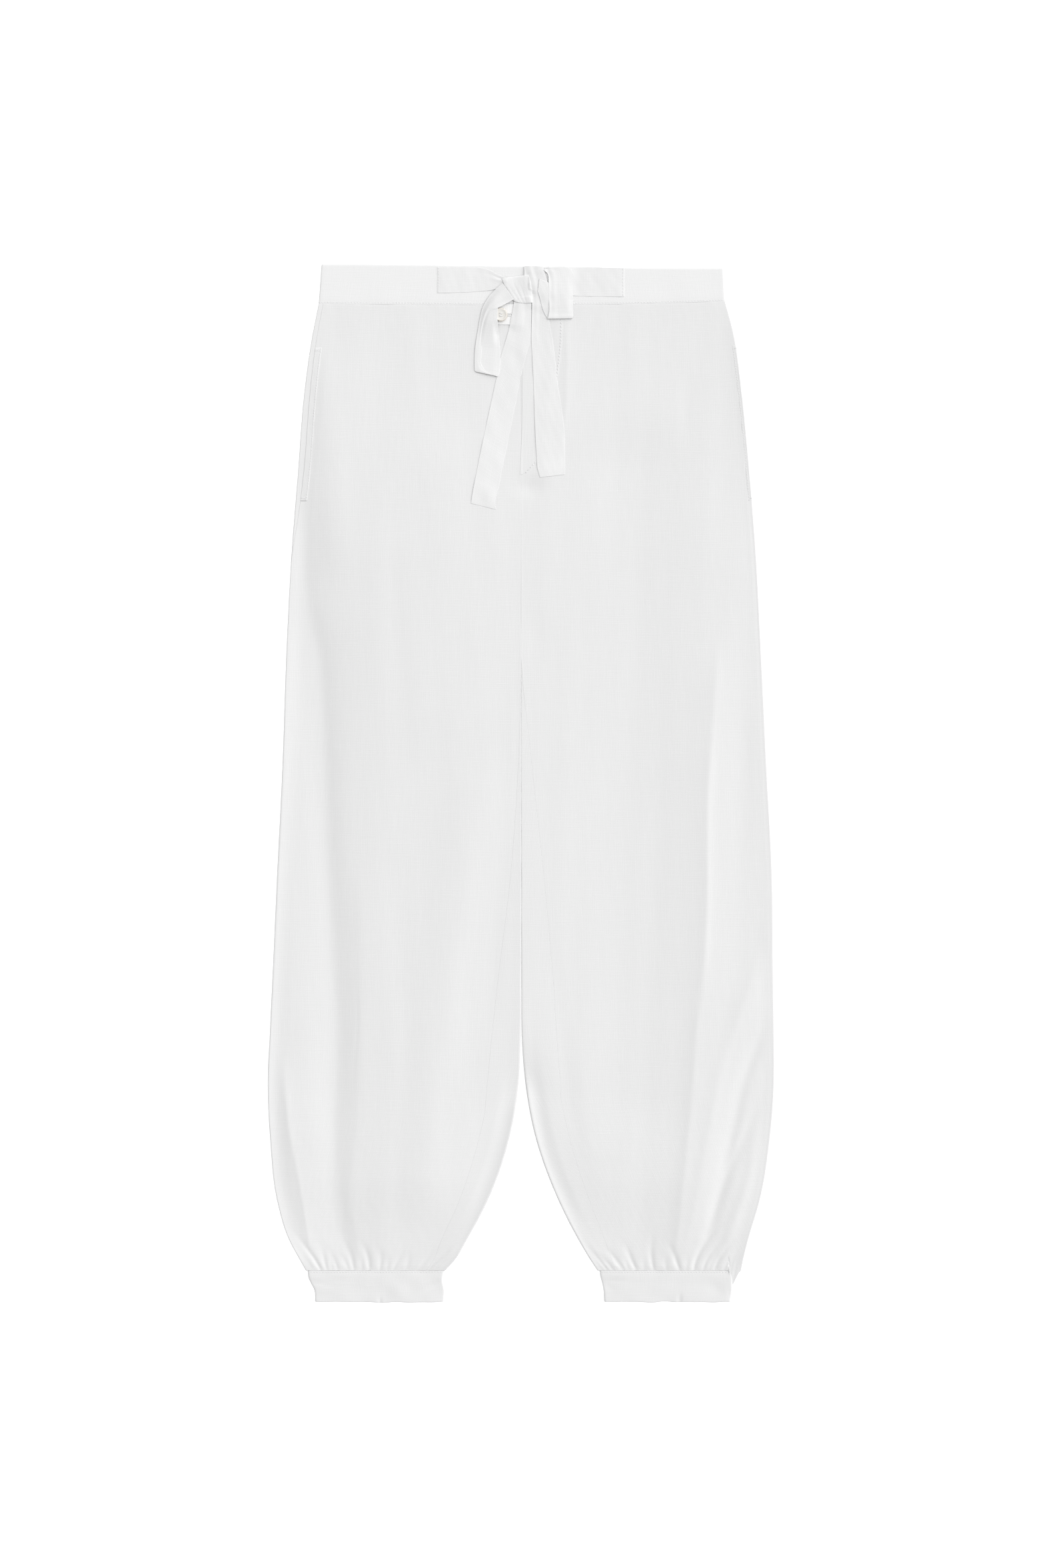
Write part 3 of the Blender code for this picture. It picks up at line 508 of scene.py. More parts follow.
def gatherRelief(side, share, y, seed=0):
    # puffs over the lay with a narrow valley at each gather, leaning as it climbs; a seed shifts them
    above = np.maximum(y - legs["cuffSeamY"], 0.0)
    atSeam = 0.45 + 0.55 * smoothStep(above / gathers["rise"])
    total = gathers["puff"] * atSeam * smoothStep(1.0 - above / gathers["puffReach"])
    random = np.random.default_rng(seed)
    for place, reach, depth, lean in legGathers[side]:
        if seed:
            place, reach, lean = place + random.uniform(-0.02, 0.02), reach * 0.8, lean * 0.4
        climb = above / reach
        centre = place + lean / gathers["span"] * np.minimum(climb, 1.3) ** 1.4
        spread = gathers["width"] / gathers["span"] * (1.0 + 0.9 * climb)
        fade = smoothStep(1.0 - (above - gathers["rise"]) / reach)
        valley = np.exp(-np.abs((share - centre) / spread) ** 1.7)
        total = total - gathers["depth"] * depth * atSeam * fade * valley
    return total


def legForm(side, y):
    # outside of the leg on each level: from halfway up the inner fold over the front, round the
    # outer fold and back underneath, as distance from the middle, height and length of cloth
    outer, inner, edge, _ = legSizes(side, y)
    y = y[:, None]
    above = y - legs["cuffSeamY"]
    closed = smoothStep(1.0 - (y - legs["crotchY"]) / legs["openingOut"])
    roll = edge / 2
    bend = legs["outerRound"] * roll
    touching, clear = legs["touch"]
    apart = smoothStep((inner - touching) / clear)
    tight, loose = legs["innerRoll"]
    rollIn = tight + (loose - tight) * apart
    span = outer - bend - inner - rollIn
    frontCount, underCount, turnCount = legs["samples"]
    quarter = np.linspace(0.0, math.pi / 2, turnCount)[None, :]

    top = inner + rollIn + span * np.linspace(0.0, 1.0, frontCount)[None, :]
    fromOuter = (outer - bend - top) / legs["edgeReach"]
    fromInner = (top - inner - rollIn) / legs["edgeReach"]
    lift = np.minimum(np.exp(-fromOuter) + apart * closed * np.exp(-fromInner), 1.0)
    # folds fade towards both edges, and the rise of the cloth only towards the edges that are free
    fadeOuter, fadeInner = legs["foldFade"]
    away = smoothStep(fromOuter / fadeOuter) * (1.0 - closed * (1.0 - smoothStep(fromInner / fadeInner)))
    free = smoothStep(fromOuter / legs["airStart"][side]) * (
        1.0 - closed * apart * (1.0 - smoothStep(fromInner / fadeOuter)))
    relief = foldRelief(legFolds[side], top, y) + gatherRelief(side, (top - inner) / (outer - inner), y)
    for x, dentY, wide, tall, depth in frontDents:
        relief = relief - depth * hollow(sideSign[side] * top - x, y - dentY, wide, tall)
    relief = relief + legs["ripple"] * softNoise(top, y, 11 + len(side), 52.0, 420.0) * away
    edgeShare = (1.0 - (1.0 - legs["airOut"][side]) * bell(fromOuter, legs["airEdge"])) * (
        1.0 - (1.0 - legs["airIn"]) * apart * bell(fromInner, legs["airEdge"]))
    airTop, airOver = legs["airTop"]
    air = legs["air"] * smoothStep((airTop - y) / airOver) * smoothStep(above / legs["airFoot"]) * edgeShare
    height = legs["laidLow"] + (edge - legs["laidLow"]) * lift + relief * away + air * (1.0 - lift) * free
    lip, lipReach = legs["innerLip"][side]
    rise = legs["innerRise"][side] * apart * np.exp(-fromInner) * smoothStep(above / 60.0)
    height = height + closed * (lip * (1.0 - apart) * np.exp(-(top - inner) / lipReach) + rise)
    # w log(1 + exp((h - low) / w)) bends smoothly into the lowest height
    least, soft = legs["lowest"]
    height = least + soft * np.logaddexp(0.0, (height - least) / soft)

    # the underside is flat apart from shallow hollows, and touches what it lies on at both edges
    under = inner + rollIn + span * np.linspace(1.0, 0.0, underCount)[None, :]
    nearEdge = np.minimum((outer - bend - under), (under - inner - rollIn)) / 9.0
    gathered = gatherRelief(side, (under - inner) / (outer - inner), y, seed=5)
    puckers = np.maximum(gathers["puff"] - gathered, 0.0)
    dents = foldRelief(backFolds[side], under, y) + puckers * smoothStep(1.0 - above / 70.0) * 0.6
    dents = np.maximum(dents + 0.10 + 0.10 * softNoise(under, y, 23 + len(side), 50.0, 200.0), 0.0)
    underHeight = dents * smoothStep(nearEdge)

    innerAcross = inner + rollIn * (1 - np.cos(quarter))
    # where the legs touch, their folds press flat against each other up to near the top
    meet = roll * apart + (legs["innerMeet"] * height[:, :1]) * (1.0 - apart)
    innerUp = (1 - closed) * height[:, :1] + closed * (meet + (height[:, :1] - meet) * np.sin(quarter))
    innerLow = closed * meet * (1 - np.sin(quarter))
    outerAcross = outer - bend + bend * np.cos(quarter)
    outerUp = roll + (height[:, -1:] - roll) * np.sin(quarter)
    outerLow = roll * (1 - np.sin(quarter))
    across = np.hstack([innerAcross, top[:, 1:], outerAcross[:, ::-1][:, 1:], outerAcross[:, 1:],
                        under[:, 1:], innerAcross[:, ::-1][:, 1:]])
    up = np.hstack([innerUp, height[:, 1:], outerUp[:, ::-1][:, 1:], outerLow[:, 1:],
                    underHeight[:, 1:], innerLow[:, ::-1][:, 1:]])
    length = np.hstack([np.zeros((len(y), 1)), np.cumsum(np.hypot(np.diff(across), np.diff(up)), axis=1)])
    topEnd = length[:, turnCount + frontCount - 2][:, None]
    return across, up, length, topEnd


nearSteps = np.array([0.0, 0.22, 0.5, 0.85, 1.3, 1.9, 2.6, 3.4, 4.3, 5.4, 6.8, 8.6])


def levelsDown(top, low, table):
    # rows from top to low, each stretch of the table with its own step
    marks = [top]
    for limit, step in table:
        count = max(int(round((marks[-1] - limit) / step)), 1)
        marks.extend(np.linspace(marks[-1], limit, count + 1)[1:])
    marks[-1] = low
    return np.array(marks)


legLevels = levelsDown(450.0, legs["cuffSeamY"], (
    (449.0, 0.34), (444.0, 1.3), (420.0, 3.0), (312.0, 6.0), (264.0, 2.4), (-180.0, 6.4), (-330.0, 4.6),
    (-390.0, 2.6), (-452.0, 1.25), (-457.8, 0.72),
))


def seamPlace(side, y, topEnd):
    table = np.array(sideSeam[side])
    return topEnd - throughCurve(table[:, 0], table[:, 1], y)[:, None]


def sampleLeg(side, y, form, places):
    # points at these lengths of cloth on each level
    across, up, length, _ = form
    wrapped = np.where(places > length[:, -1:], places - length[:, -1:], places)
    a, z = rowInterp(wrapped, length, across), rowInterp(wrapped, length, up)
    x = sideSign[side] * a
    down = smoothStep((y[:, None] - 290.0) / 160.0)
    first, wide, drop = legs["hang"]
    hang = 0.0
    if side == "left":
        # a wedge of the outer fold hangs down beside the cuff, and closes there
        hang = (smoothStep((a - first) / 0.8) * (1.0 - smoothStep((a - first - 0.8) / wide))
                * smoothStep(1.0 - (y[:, None] - legs["cuffSeamY"]) / 24.0))
    lifted = y[:, None] + waistShift(x) * down - drop * hang
    return np.dstack([x, lifted, z * (1.0 - legs["hangSink"] * hang)])


def seamRelief(distance, shoulder, dip):
    # the edge turns down into its seam, and the allowance inside lifts a flat shoulder beside it
    dip = -dip * bell(distance, 0.5)
    return dip + shoulder * (1.0 - smoothStep((distance - legs["allowance"] + 2.0) / 4.0))


def legPanel(side, part):
    y = legLevels
    form = legForm(side, y)
    length, topEnd = form[2], form[3]
    end = length[:, -1:]
    _, _, edge, inseam = legSizes(side, y)
    inseam = np.maximum(inseam, 0.0)
    seam = seamPlace(side, y, topEnd)
    gap = legs["seamGap"] / 2
    if part == "front":
        start = np.maximum(inseam, gap)
        stop = seam - gap
        middle = np.linspace(0.0, 1.0, 138)[None, 1:-1]
        a, b = start + nearSteps[-1], stop - nearSteps[-1]
        places = np.hstack([start + nearSteps, a + (b - a) * middle, stop - nearSteps[::-1]])
        outward = upwards
    else:
        start = seam + gap
        stop = end + np.where(inseam > gap, inseam, 0.0) - gap
        near = nearSteps[:5]
        flatA = np.maximum(topEnd + 0.5 * math.pi * edge, start + near[-1] + 1.0)
        flatB = end - 0.25 * math.pi * edge

        def stretch(a, b, count):
            return a + (b - a) * np.linspace(0.0, 1.0, count)[None, :]

        places = np.hstack([
            start + near, stretch(start + near[-1], flatA, 15)[:, 1:], stretch(flatA, flatB, 66)[:, 1:],
            stretch(flatB, stop - near[-1], 26)[:, 1:-1], stop - near[::-1],
        ])
        outward = -upwards
    points = sampleLeg(side, y, form, places)
    points[0, :, 1] -= gap
    points[-1, :, 1] += gap
    normals = gridNormals(points, outward)
    fromStart, fromStop = places - start, stop - places
    onFront = smoothStep(inseam / 6.0) if part == "front" else 0.0
    relief = seamRelief(fromStart, 0.0, legs["seamDip"] * (0.4 if part == "front" else 1.0))
    if (part, side) == ("front", "left"):
        # the centre seam is pressed to this side: a low roll that falls away from the seam
        pressed = (1.0 - onFront) * smoothStep((300.0 - y[:, None]) / 12.0)
        relief = relief + 0.14 * pressed * np.exp(-fromStart / 0.8)
    relief = relief + seamRelief(fromStop, 0.04, legs["seamDip"] * 0.5)
    below = (legs["waistSeamY"] - y)[:, None]
    above = (y - legs["cuffSeamY"])[:, None]
    relief = relief - 0.10 * bell(below, 0.7) - 0.04 * bell(above, 1.1)
    fine = softNoise(points[..., 0], points[..., 1], 71 + len(side) + len(part), 9.0, 30.0)
    relief = relief + 0.022 * fine * smoothStep(np.minimum(fromStart, fromStop) / 6.0)
    if part == "back":
        relief = np.minimum(relief, 0.0)
    points = points + normals * relief[..., None]
    points[..., 2] = np.maximum(points[..., 2], 0.0)
    uv = np.dstack([places, eachColumn(y, places)])
    piece = gridObject(f"{part}Panel{side.capitalize()}", points, normals, uv, legs["clothWall"])
    return dress(piece, bodyCloth, "leg_cloth", f"{part}_{side}"), points


panels, panelPoints = {}, {}
for side in sides:
    for part in ("front", "back"):
        panels[part, side], panelPoints[part, side] = legPanel(side, part)
print("leg panels laid")

# stitches

stitchShape = {"length": 2.3, "gap": 0.75, "width": 0.42, "height": 0.30}


def stitchRow(name, path, normals, slotName="leg_cloth", crosswise=False, **sizes):
    # beads of thread along a path: each a six-sided lens from three rings and two tips
    size = {**stitchShape, **sizes}
    place = np.concatenate([[0.0], np.cumsum(np.linalg.norm(np.diff(path, axis=0), axis=1))])
    pitch = size["gap"] + (size["width"] if crosswise else size["length"])
    count = max(int(place[-1] / pitch), 1)
    at = (np.arange(count) + 0.5) * place[-1] / count

    def along(values, where):
        return np.column_stack([np.interp(where, place, values[:, k]) for k in range(3)])

    centre, up = along(path, at), along(normals, at)
    up /= np.linalg.norm(up, axis=1, keepdims=True)
    ahead = along(path, at + 0.6) - along(path, at - 0.6)
    ahead /= np.maximum(np.linalg.norm(ahead, axis=1, keepdims=True), 1e-9)
    beside = np.cross(up, ahead)
    if crosswise:
        ahead, beside = beside, ahead
    turn = np.arange(6) * math.pi / 3
    rings = [(-0.5, 0.0, -0.3)]
    for share, swell in ((-0.36, 0.78), (0.0, 1.0), (0.36, 0.78)):
        rings += [(share, 0.5 * swell * math.cos(a), 0.5 * swell * math.sin(a)) for a in turn]
    shape = np.array([*rings, (0.5, 0.0, -0.3)])
    points = (
        centre[:, None] + ahead[:, None] * shape[None, :, :1] * size["length"]
        + beside[:, None] * shape[None, :, 1:2] * size["width"]
        + up[:, None] * (shape[None, :, 2:3] * size["height"] + 0.32 * size["height"])
    )
    points[..., 2] = np.maximum(points[..., 2], 0.0)
    faces = [(0, 1 + (k + 1) % 6, 1 + k) for k in range(6)]
    for ring in (1, 7):
        faces += [(ring + k, ring + (k + 1) % 6, ring + 6 + (k + 1) % 6, ring + 6 + k) for k in range(6)]
    faces += [(19, 13 + k, 13 + (k + 1) % 6) for k in range(6)]
    starts = range(0, count * len(shape), len(shape))
    mesh = bpy.data.meshes.new(name)
    mesh.from_pydata((points.reshape(-1, 3) * mm).tolist(), [],
                     [tuple(start + index for index in face) for start in starts for face in faces])
    built = bmesh.new()
    built.from_mesh(mesh)
    bmesh.ops.recalc_face_normals(built, faces=built.faces[:])
    built.to_mesh(mesh)
    built.free()
    mesh.shade_smooth()
    return dress(placed(name, mesh), thread, slotName)


# waistband

band = {
    "wall": 1.15,  # two layers of cloth
    "thickness": 3.4,
    "height": 36.0,
    "overlapX": 2.8,
    "underlapX": 30.0,
    "step": 1.3,
    "edgesRight": (190.6, 188.0),
    "edgesLeft": (192.0, 190.5),
    "stitchUp": 1.5,
    "rows": (0.0, 0.3, 0.8, 1.5, 2.3, 3.5, 6.0, 9.0, 12.0, 15.0, 18.0, 21.0, 24.0, 27.0, 30.0, 32.5, 34.3,
             35.3, 35.75, 36.0),
}


def bandSurface():
    # one strip: hidden right end, round the back, and its left end on top, on 20 levels
    thick, roll = band["thickness"], band["thickness"] / 2
    turn = np.linspace(math.pi / 2, -math.pi / 2, 15)
    rows = []
    for level in np.array(band["rows"]) / band["height"]:
        right = -(band["edgesRight"][0] + (band["edgesRight"][1] - band["edgesRight"][0]) * level)
        left = band["edgesLeft"][0] + (band["edgesLeft"][1] - band["edgesLeft"][0]) * level
        underLap = np.linspace(band["underlapX"], right + roll, 96)
        back = np.linspace(right + roll, left - roll, 150)[1:-1]
        onTop = np.concatenate([
            np.linspace(left - roll, band["overlapX"] + 2.0, 92)[1:],
            band["overlapX"] + np.array([1.3, 0.8, 0.4, 0.15, 0.0]),
        ])
        rise = band["step"] * smoothStep((band["overlapX"] + 50.0 - onTop) / 16.0)
        x = np.concatenate([underLap, right + roll - roll * np.cos(turn[1:]), back,
                            left - roll + roll * np.cos(turn[::-1]), onTop])
        z = np.concatenate([
            np.full(len(underLap), thick), roll + roll * np.sin(turn[1:]), np.zeros(len(back)),
            roll + roll * np.sin(turn[::-1]), thick + rise,
        ])
        seam = waistShift(x)
        top = legs["waistSeamY"] + band["height"] + 1.8 - 3.8 * smoothStep((x + 190.0) / 380.0)
        low = legs["waistSeamY"] + legs["seamGap"] / 2 + seam
        rows.append(np.column_stack([x, low + (top - low) * level, z]))
    return np.array(rows)


bandPoints = bandSurface()
bandUp = np.sign(bandPoints[..., 2:] - band["thickness"] / 2) * upwards
bandNormals = gridNormals(bandPoints, bandUp)
bandRun = lengthAcross(bandPoints)
bandUv = np.dstack([bandRun - bandRun.mean(axis=1, keepdims=True), lengthDown(bandPoints)])
levelUp = np.array(band["rows"])[:, None]
bandRelief = (
    0.10 * softNoise(bandUv[..., 0], levelUp, 31, 70.0, 90.0)
    - 0.06 * bell(levelUp - band["stitchUp"], 0.7) - 0.14 * bell(levelUp, 0.4)
    - 0.3 * bell(band["height"] - levelUp, 0.5)
    + 0.06 * smoothStep((levelUp - 2.0) / 2.0) * (1.0 - smoothStep((levelUp - 8.0) / 5.0))
)
lapEnd = bandUv[..., 0].max() - bandUv[..., 0]
bandRelief = bandRelief - 0.65 * bell(lapEnd, 1.6) - 0.10 * bell(lapEnd - 3.0, 0.8)
bandPoints = bandPoints + bandNormals * np.where(bandUp[..., 2:] > 0, bandRelief[..., None],
                                                 np.minimum(bandRelief, 0.0)[..., None])
bandPoints[..., 2] = np.maximum(bandPoints[..., 2], 0.0)
waistband = dress(gridObject("waistband.cloth", bandPoints, bandNormals, bandUv, band["wall"]),
                  bandCloth, "band_cloth", "waistband")
stitchLevel = band["rows"].index(band["stitchUp"])
stitchRow("waistStitch", bandPoints[stitchLevel], bandNormals[stitchLevel], slotName="band_cloth",
          length=2.0, gap=0.8)
print("waistband made")

# cuffs

cuffs = {
    "wall": 1.1,
    "thickness": 4.0,
    "height": 29.8,
    "levels": (0.0, 0.3, 0.8, 1.6, 2.6, 4.0, 6.0, 8.5, 11.0, 13.5, 16.0, 18.5, 21.0, 23.5, 25.5, 27.2, 28.4,
               29.1, 29.55, 29.8),
    "stitchDown": 1.6,
    # level below the seam, outer edge, inner edge
    "right": ((0, 201, 72), (9, 199.3, 73.4), (17.5, 195, 71.6), (29.8, 193.9, 72.2)),
    "left": ((0, 198.2, 73.5), (9, 198.8, 75), (17.5, 198.6, 77), (29.8, 197.2, 78)),
}
# creases of the cuffs: centre x, distance below the seam, half widths, tilt, depth
cuffDents = {
    "right": ((-189, 12, 11, 1.6, 0.16, 0.5), (-172, 9, 16, 1.4, -0.06, 0.3),
              (-132.5, 29, 1.4, 3.6, 0.5, 0.8), (-84, 14, 12, 1.8, -0.45, 0.45),
              (-150, 18, 12, 5, 0.1, 0.25), (-112, 12, 14, 6, 0, -0.2)),
    "left": ((88, 9.5, 13, 1.8, 0.02, 0.6), (80, 14, 7, 3, 0.3, 0.35),
             (149, 27.5, 2, 4.5, -0.3, 0.8), (183, 17, 9, 6, 0.4, 0.3),
             (196, 22, 2, 6, 0, 0.4), (120, 16, 14, 6, 0.1, -0.2)),
}


def cuffSurface(side):
    # flattened ring: half turns at both edges, flat runs between, one ring for each level
    table = np.array(cuffs[side])
    down = np.array(cuffs["levels"])
    edges = throughCurve(table[:, 0], table[:, 1:], down)
    outer, inner = sideSign[side] * edges[:, :1], sideSign[side] * edges[:, 1:]
    low, high = np.minimum(outer, inner), np.maximum(outer, inner)
    roll = cuffs["thickness"] / 2
    turn = np.linspace(-math.pi / 2, math.pi / 2, 13)[None, :]
    run = np.linspace(0.0, 1.0, 86)[None, 1:-1]
    x = np.hstack([high - roll + roll * np.cos(turn), high - roll + (low - high + 2 * roll) * run,
                   low + roll - roll * np.cos(turn[:, ::-1]), low + roll + (high - low - 2 * roll) * run])
    z = np.hstack([roll + roll * np.sin(turn), np.full(run.shape, 2 * roll),
                   roll + roll * np.sin(turn[:, ::-1]), np.zeros(run.shape)])
    top = legs["cuffSeamY"] - legs["seamGap"] / 2
    return np.dstack([x, eachColumn(top - down, x), np.repeat(z, len(down), axis=0)]), down[:, None]


for side in sides:
    points, down = cuffSurface(side)
    normals = gridNormals(points, (points - points.mean(axis=(0, 1))) * (1.0, 0.0, 30.0))
    relief = (
        -0.04 * bell(down, 0.45) - 0.07 * bell(down - cuffs["stitchDown"], 0.7)
        - 0.3 * bell(cuffs["height"] - down, 0.45)
        + 0.16 * softNoise(points[..., 0], down, 41 + len(side), 30.0, 40.0)
        + 0.10 * smoothStep((down - 2.2) / 1.5) * (1.0 - smoothStep((down - 7.5) / 3.5))
    )
    for x, below, wide, tall, tilt, depth in cuffDents[side]:
        dx = points[..., 0] - x
        relief = relief - depth * hollow(dx, down - below - tilt * dx, wide, tall)
    onTop = normals[..., 2] > -0.2
    points = points + normals * np.where(onTop, relief, np.minimum(relief, 0.0))[..., None]
    hem = 0.35 * softNoise(points[..., 0], 0.0, 47 + len(side), 34.0, 50.0)
    points[..., 1] += hem * smoothStep((down - 18.0) / 11.0)
    points[..., 2] = np.maximum(points[..., 2], 0.0)
    uv = np.dstack([lengthAcross(points), eachColumn(down, points)])
    piece = gridObject(f"cuff{side.capitalize()}.cloth", points, normals, uv, cuffs["wall"], ring=True)
    dress(piece, bodyCloth, "leg_cloth", f"cuff_{side}")
    level = cuffs["levels"].index(cuffs["stitchDown"])
    stitchRow(f"cuffStitch{side.capitalize()}", points[level], normals[level], length=1.9, gap=0.8)
print("cuffs made")

# height map of the lay, for what lies on the front

laySize = {"x": (-92.0, 112.0), "y": (248.0, 490.0), "cell": 0.5}
lay = np.zeros([int((laySize[axis][1] - laySize[axis][0]) / laySize["cell"]) + 1 for axis in ("y", "x")])


def finer(points, times):
    # straight lines between the rows of a grid
    at = np.linspace(0.0, len(points) - 1.0, (len(points) - 1) * times + 1)
    low = np.minimum(at.astype(int), len(points) - 2)
    share = (at - low)[:, None, None]
    return points[low] * (1.0 - share) + points[low + 1] * share


def addToLay(points, timesRows, timesColumns):
    # the highest point of the surface over each cell
    dense = finer(points, timesRows)
    dense = finer(dense.transpose(1, 0, 2), timesColumns).reshape(-1, 3)
    column = np.rint((dense[:, 0] - laySize["x"][0]) / laySize["cell"]).astype(int)
    row = np.rint((dense[:, 1] - laySize["y"][0]) / laySize["cell"]).astype(int)
    good = (column >= 0) & (column < lay.shape[1]) & (row >= 0) & (row < lay.shape[0])
    np.maximum.at(lay, (row[good], column[good]), dense[good, 2])


def slid(values, reach, axis, joined):
    # joins the copies of an array slid by up to reach cells along one axis
    padding = [(0, 0), (0, 0)]
    padding[axis] = (reach, reach)
    wide = np.pad(values, padding, mode="edge")
    copies = [np.take(wide, np.arange(k, k + values.shape[axis]), axis=axis) for k in range(2 * reach + 1)]
    return joined(copies, axis=0)


def softLay(reach):
    # highest nearby, then the mean nearby, which never falls below the lay itself
    result = lay
    for joined in (np.max, np.mean):
        for axis in (0, 1):
            result = slid(result, reach, axis, joined)
    return result


def readMap(heights, x, y):
    # bilinear: the four cells round each place, by their shares
    column = np.clip((x - laySize["x"][0]) / laySize["cell"], 0, lay.shape[1] - 1.001)
    row = np.clip((y - laySize["y"][0]) / laySize["cell"], 0, lay.shape[0] - 1.001)
    c, r = column.astype(int), row.astype(int)
    u, v = column - c, row - r
    return (
        heights[r, c] * (1 - u) * (1 - v) + heights[r, c + 1] * u * (1 - v)
        + heights[r + 1, c] * (1 - u) * v + heights[r + 1, c + 1] * u * v
    )


for side in sides:
    points = panelPoints["front", side]
    addToLay(points[(points[:, 80, 1] > 235.0)], 14, 5)
addToLay(bandPoints[:, -100:], 8, 9)
addToLay(bandPoints[:, :98], 8, 9)
print("lay measured")

# strips of cloth between two edge lines

belt = {
    "thickness": {"loopRight": 0.2, "loopLeft": 0.2},  # a tube of cloth, turned and pressed flat
    "otherThickness": 0.3,
    "width": 24.6,
    "foldRadius": 0.13,
    "lie": 0.03,
    "drape": 6.0,  # width over which an edge drops to what is under it
    "edges": (0.0, 0.05, 0.16, 0.34, 0.6, 1.0, 1.6),
    "ends": np.array((0.0, 0.08, 0.22, 0.45, 0.85)),
}


def denseTable(rows, step):
    # table rows on smooth curves, one for each step along the cloth
    table = np.array(rows, float)
    middle = (table[:, :2] + table[:, 2:4]) / 2
    lengths = np.linalg.norm(np.diff(middle, axis=0), axis=1) + np.abs(np.diff(table[:, 4]))
    place = np.concatenate([[0.0], np.cumsum(np.maximum(lengths, 0.5))])
    even = np.linspace(1.4, place[-1] - 1.4, int(place[-1] / step) + 2)
    return throughCurve(place, table, np.concatenate([belt["ends"], even, place[-1] - belt["ends"][::-1]]))


def stripMiddle(rows, heights, step=1.2, turned=False, crease=None, columns=18, edgeSteps=belt["edges"],
                atEdges=None, thickness=0.3):
    # middle surface: points between the two edge lines, at the height of the lay plus a lift; where
    # the strip is narrower than its cloth, the rest turns under at the second edge; near its edges
    # the strip drops to the closer maps of the lay, one for each edge
    table = denseTable(rows, step)
    a, b, lift = table[:, :2], table[:, 2:4], table[:, 4:5]
    width = np.linalg.norm(b - a, axis=1)[:, None]
    spare = np.clip(belt["width"] - width, 0.0, 0.9 * width) if turned else 0.0 * width
    cloth = width + spare
    near = np.array(edgeSteps)
    inner = np.linspace(0.0, 1.0, columns + 2)[None, 1:-1]
    radius = np.clip(np.minimum(belt["foldRadius"], spare / 3.3), 1e-3, None)
    half = radius * math.pi / 2
    if turned:
        s = np.hstack([near + 0.0 * cloth, near[-1] + (width - half - near[-1]) * inner,
                       width + half * np.linspace(-1.0, 1.0, 7)[None, :],
                       width + half + (cloth - width - half) * np.array([0.15, 0.4, 0.7, 1.0])])
    else:
        s = np.hstack([near + 0.0 * cloth, near[-1] + (cloth - 2 * near[-1]) * inner, cloth - near[::-1]])
    isTurned = spare > 0.01
    turn = np.clip((s - width + half) / radius, 0.0, math.pi)
    flat = np.minimum(s, width - half) * np.where(isTurned, (width - radius) / (width - half), 1.0)
    rounded = width - radius + radius * np.sin(turn) - np.maximum(s - width - half, 0.0)
    along = np.where(isTurned, np.where(s < width - half, flat, rounded), s)
    drop = np.where(isTurned, -radius * (1.0 - np.cos(turn)), 0.0)
    share = along / width
    x = a[:, :1] + (b - a)[:, :1] * share
    y = a[:, 1:] + (b - a)[:, 1:] * share
    raised = 2 * radius * smoothStep(spare / 3.0)
    under = readMap(heights, x, y)
    if atEdges is not None:
        second = smoothStep(share)
        close = readMap(atEdges[0], x, y) * (1.0 - second) + readMap(atEdges[1], x, y) * second
        close = np.minimum(close, under)
        under = close + (under - close) * smoothStep(np.minimum(along, width - along) / belt["drape"])
    z = under + belt["lie"] + thickness / 2 + lift + raised + drop
    if crease is not None:
        z = z + crease(s / cloth, np.linspace(0.0, 1.0, len(table))[:, None])
    points = np.dstack([x, y, z])
    return points, np.dstack([s, lengthDown(points)])


def tube(name, middle, uv, thickness, endRound=0.35):
    # closed strip: the middle surface moved out along its normals both ways, thin at every edge
    normals = gridNormals(middle, upwards)
    across, along = uv[..., 0], uv[..., 1]
    fromEdge = np.minimum(across - across[:, :1], across[:, -1:] - across)
    fromEnd = np.minimum(along, along.max() - along)
    near = np.clip(np.minimum(fromEdge, fromEnd) / endRound, 0.01, 1.0)
    half = thickness / 2 * np.sqrt(1.0 - (1.0 - near) ** 2)[..., None]
    upper, lower = middle + normals * half, middle - normals * half
    ring, ringUv, outward = (np.concatenate([front, back[:, ::-1][:, 1:-1]], axis=1)
                             for front, back in ((upper, lower), (uv, uv), (normals, -normals)))
    piece = gridObject(name, ring, outward, ringUv, ring=True)
    fillHoles(piece)
    return piece, upper, normals


# fly

fly = {
    "rows": ((1.9, 449.4, 39.4, 449.4, 0), (1.6, 411, 38.2, 411, 0), (1.2, 376, 34.4, 376, 0),
             (0.7, 336, 32.5, 336, 0), (0, 314, 26, 316, 0), (-0.6, 300, 15, 302, 0),
             (-1.2, 289.7, 5, 291.5, 0)),
    "step": 0.10,  # how far its left edge stands over the panel
    "edges": (0.0, 0.12, 0.4, 0.9, 1.5, 2.4),
    "stitchIn": 1.5,
}
softFront = softLay(1)
flyMiddle, flyUv = stripMiddle(fly["rows"], softFront, step=1.3, columns=30, edgeSteps=fly["edges"])
fromRight = flyUv[:, -1:, 0] - flyUv[..., 0]
flyMiddle[..., 2] = (
    readMap(softFront, flyMiddle[..., 0], flyMiddle[..., 1]) + 0.11
    + (fly["step"] - 0.11) * smoothStep(fromRight / 6.0) + 0.02 * np.exp(-flyUv[..., 0] / 0.7)
    - 0.08 * bell(fromRight - fly["stitchIn"], 0.7) - 0.09 * (1.0 - smoothStep(fromRight / 0.8))
)
flyNormals = gridNormals(flyMiddle, upwards)
flyPiece = dress(gridObject("flyFront", flyMiddle, flyNormals, flyUv, 0.09), bodyCloth, "leg_cloth", "fly")
flyLine = -fly["edges"].index(fly["stitchIn"]) - 1
stitchRow("flyStitch", flyMiddle[2:, flyLine], flyNormals[2:, flyLine], length=1.8, gap=1.3, width=0.85,
          height=0.5)
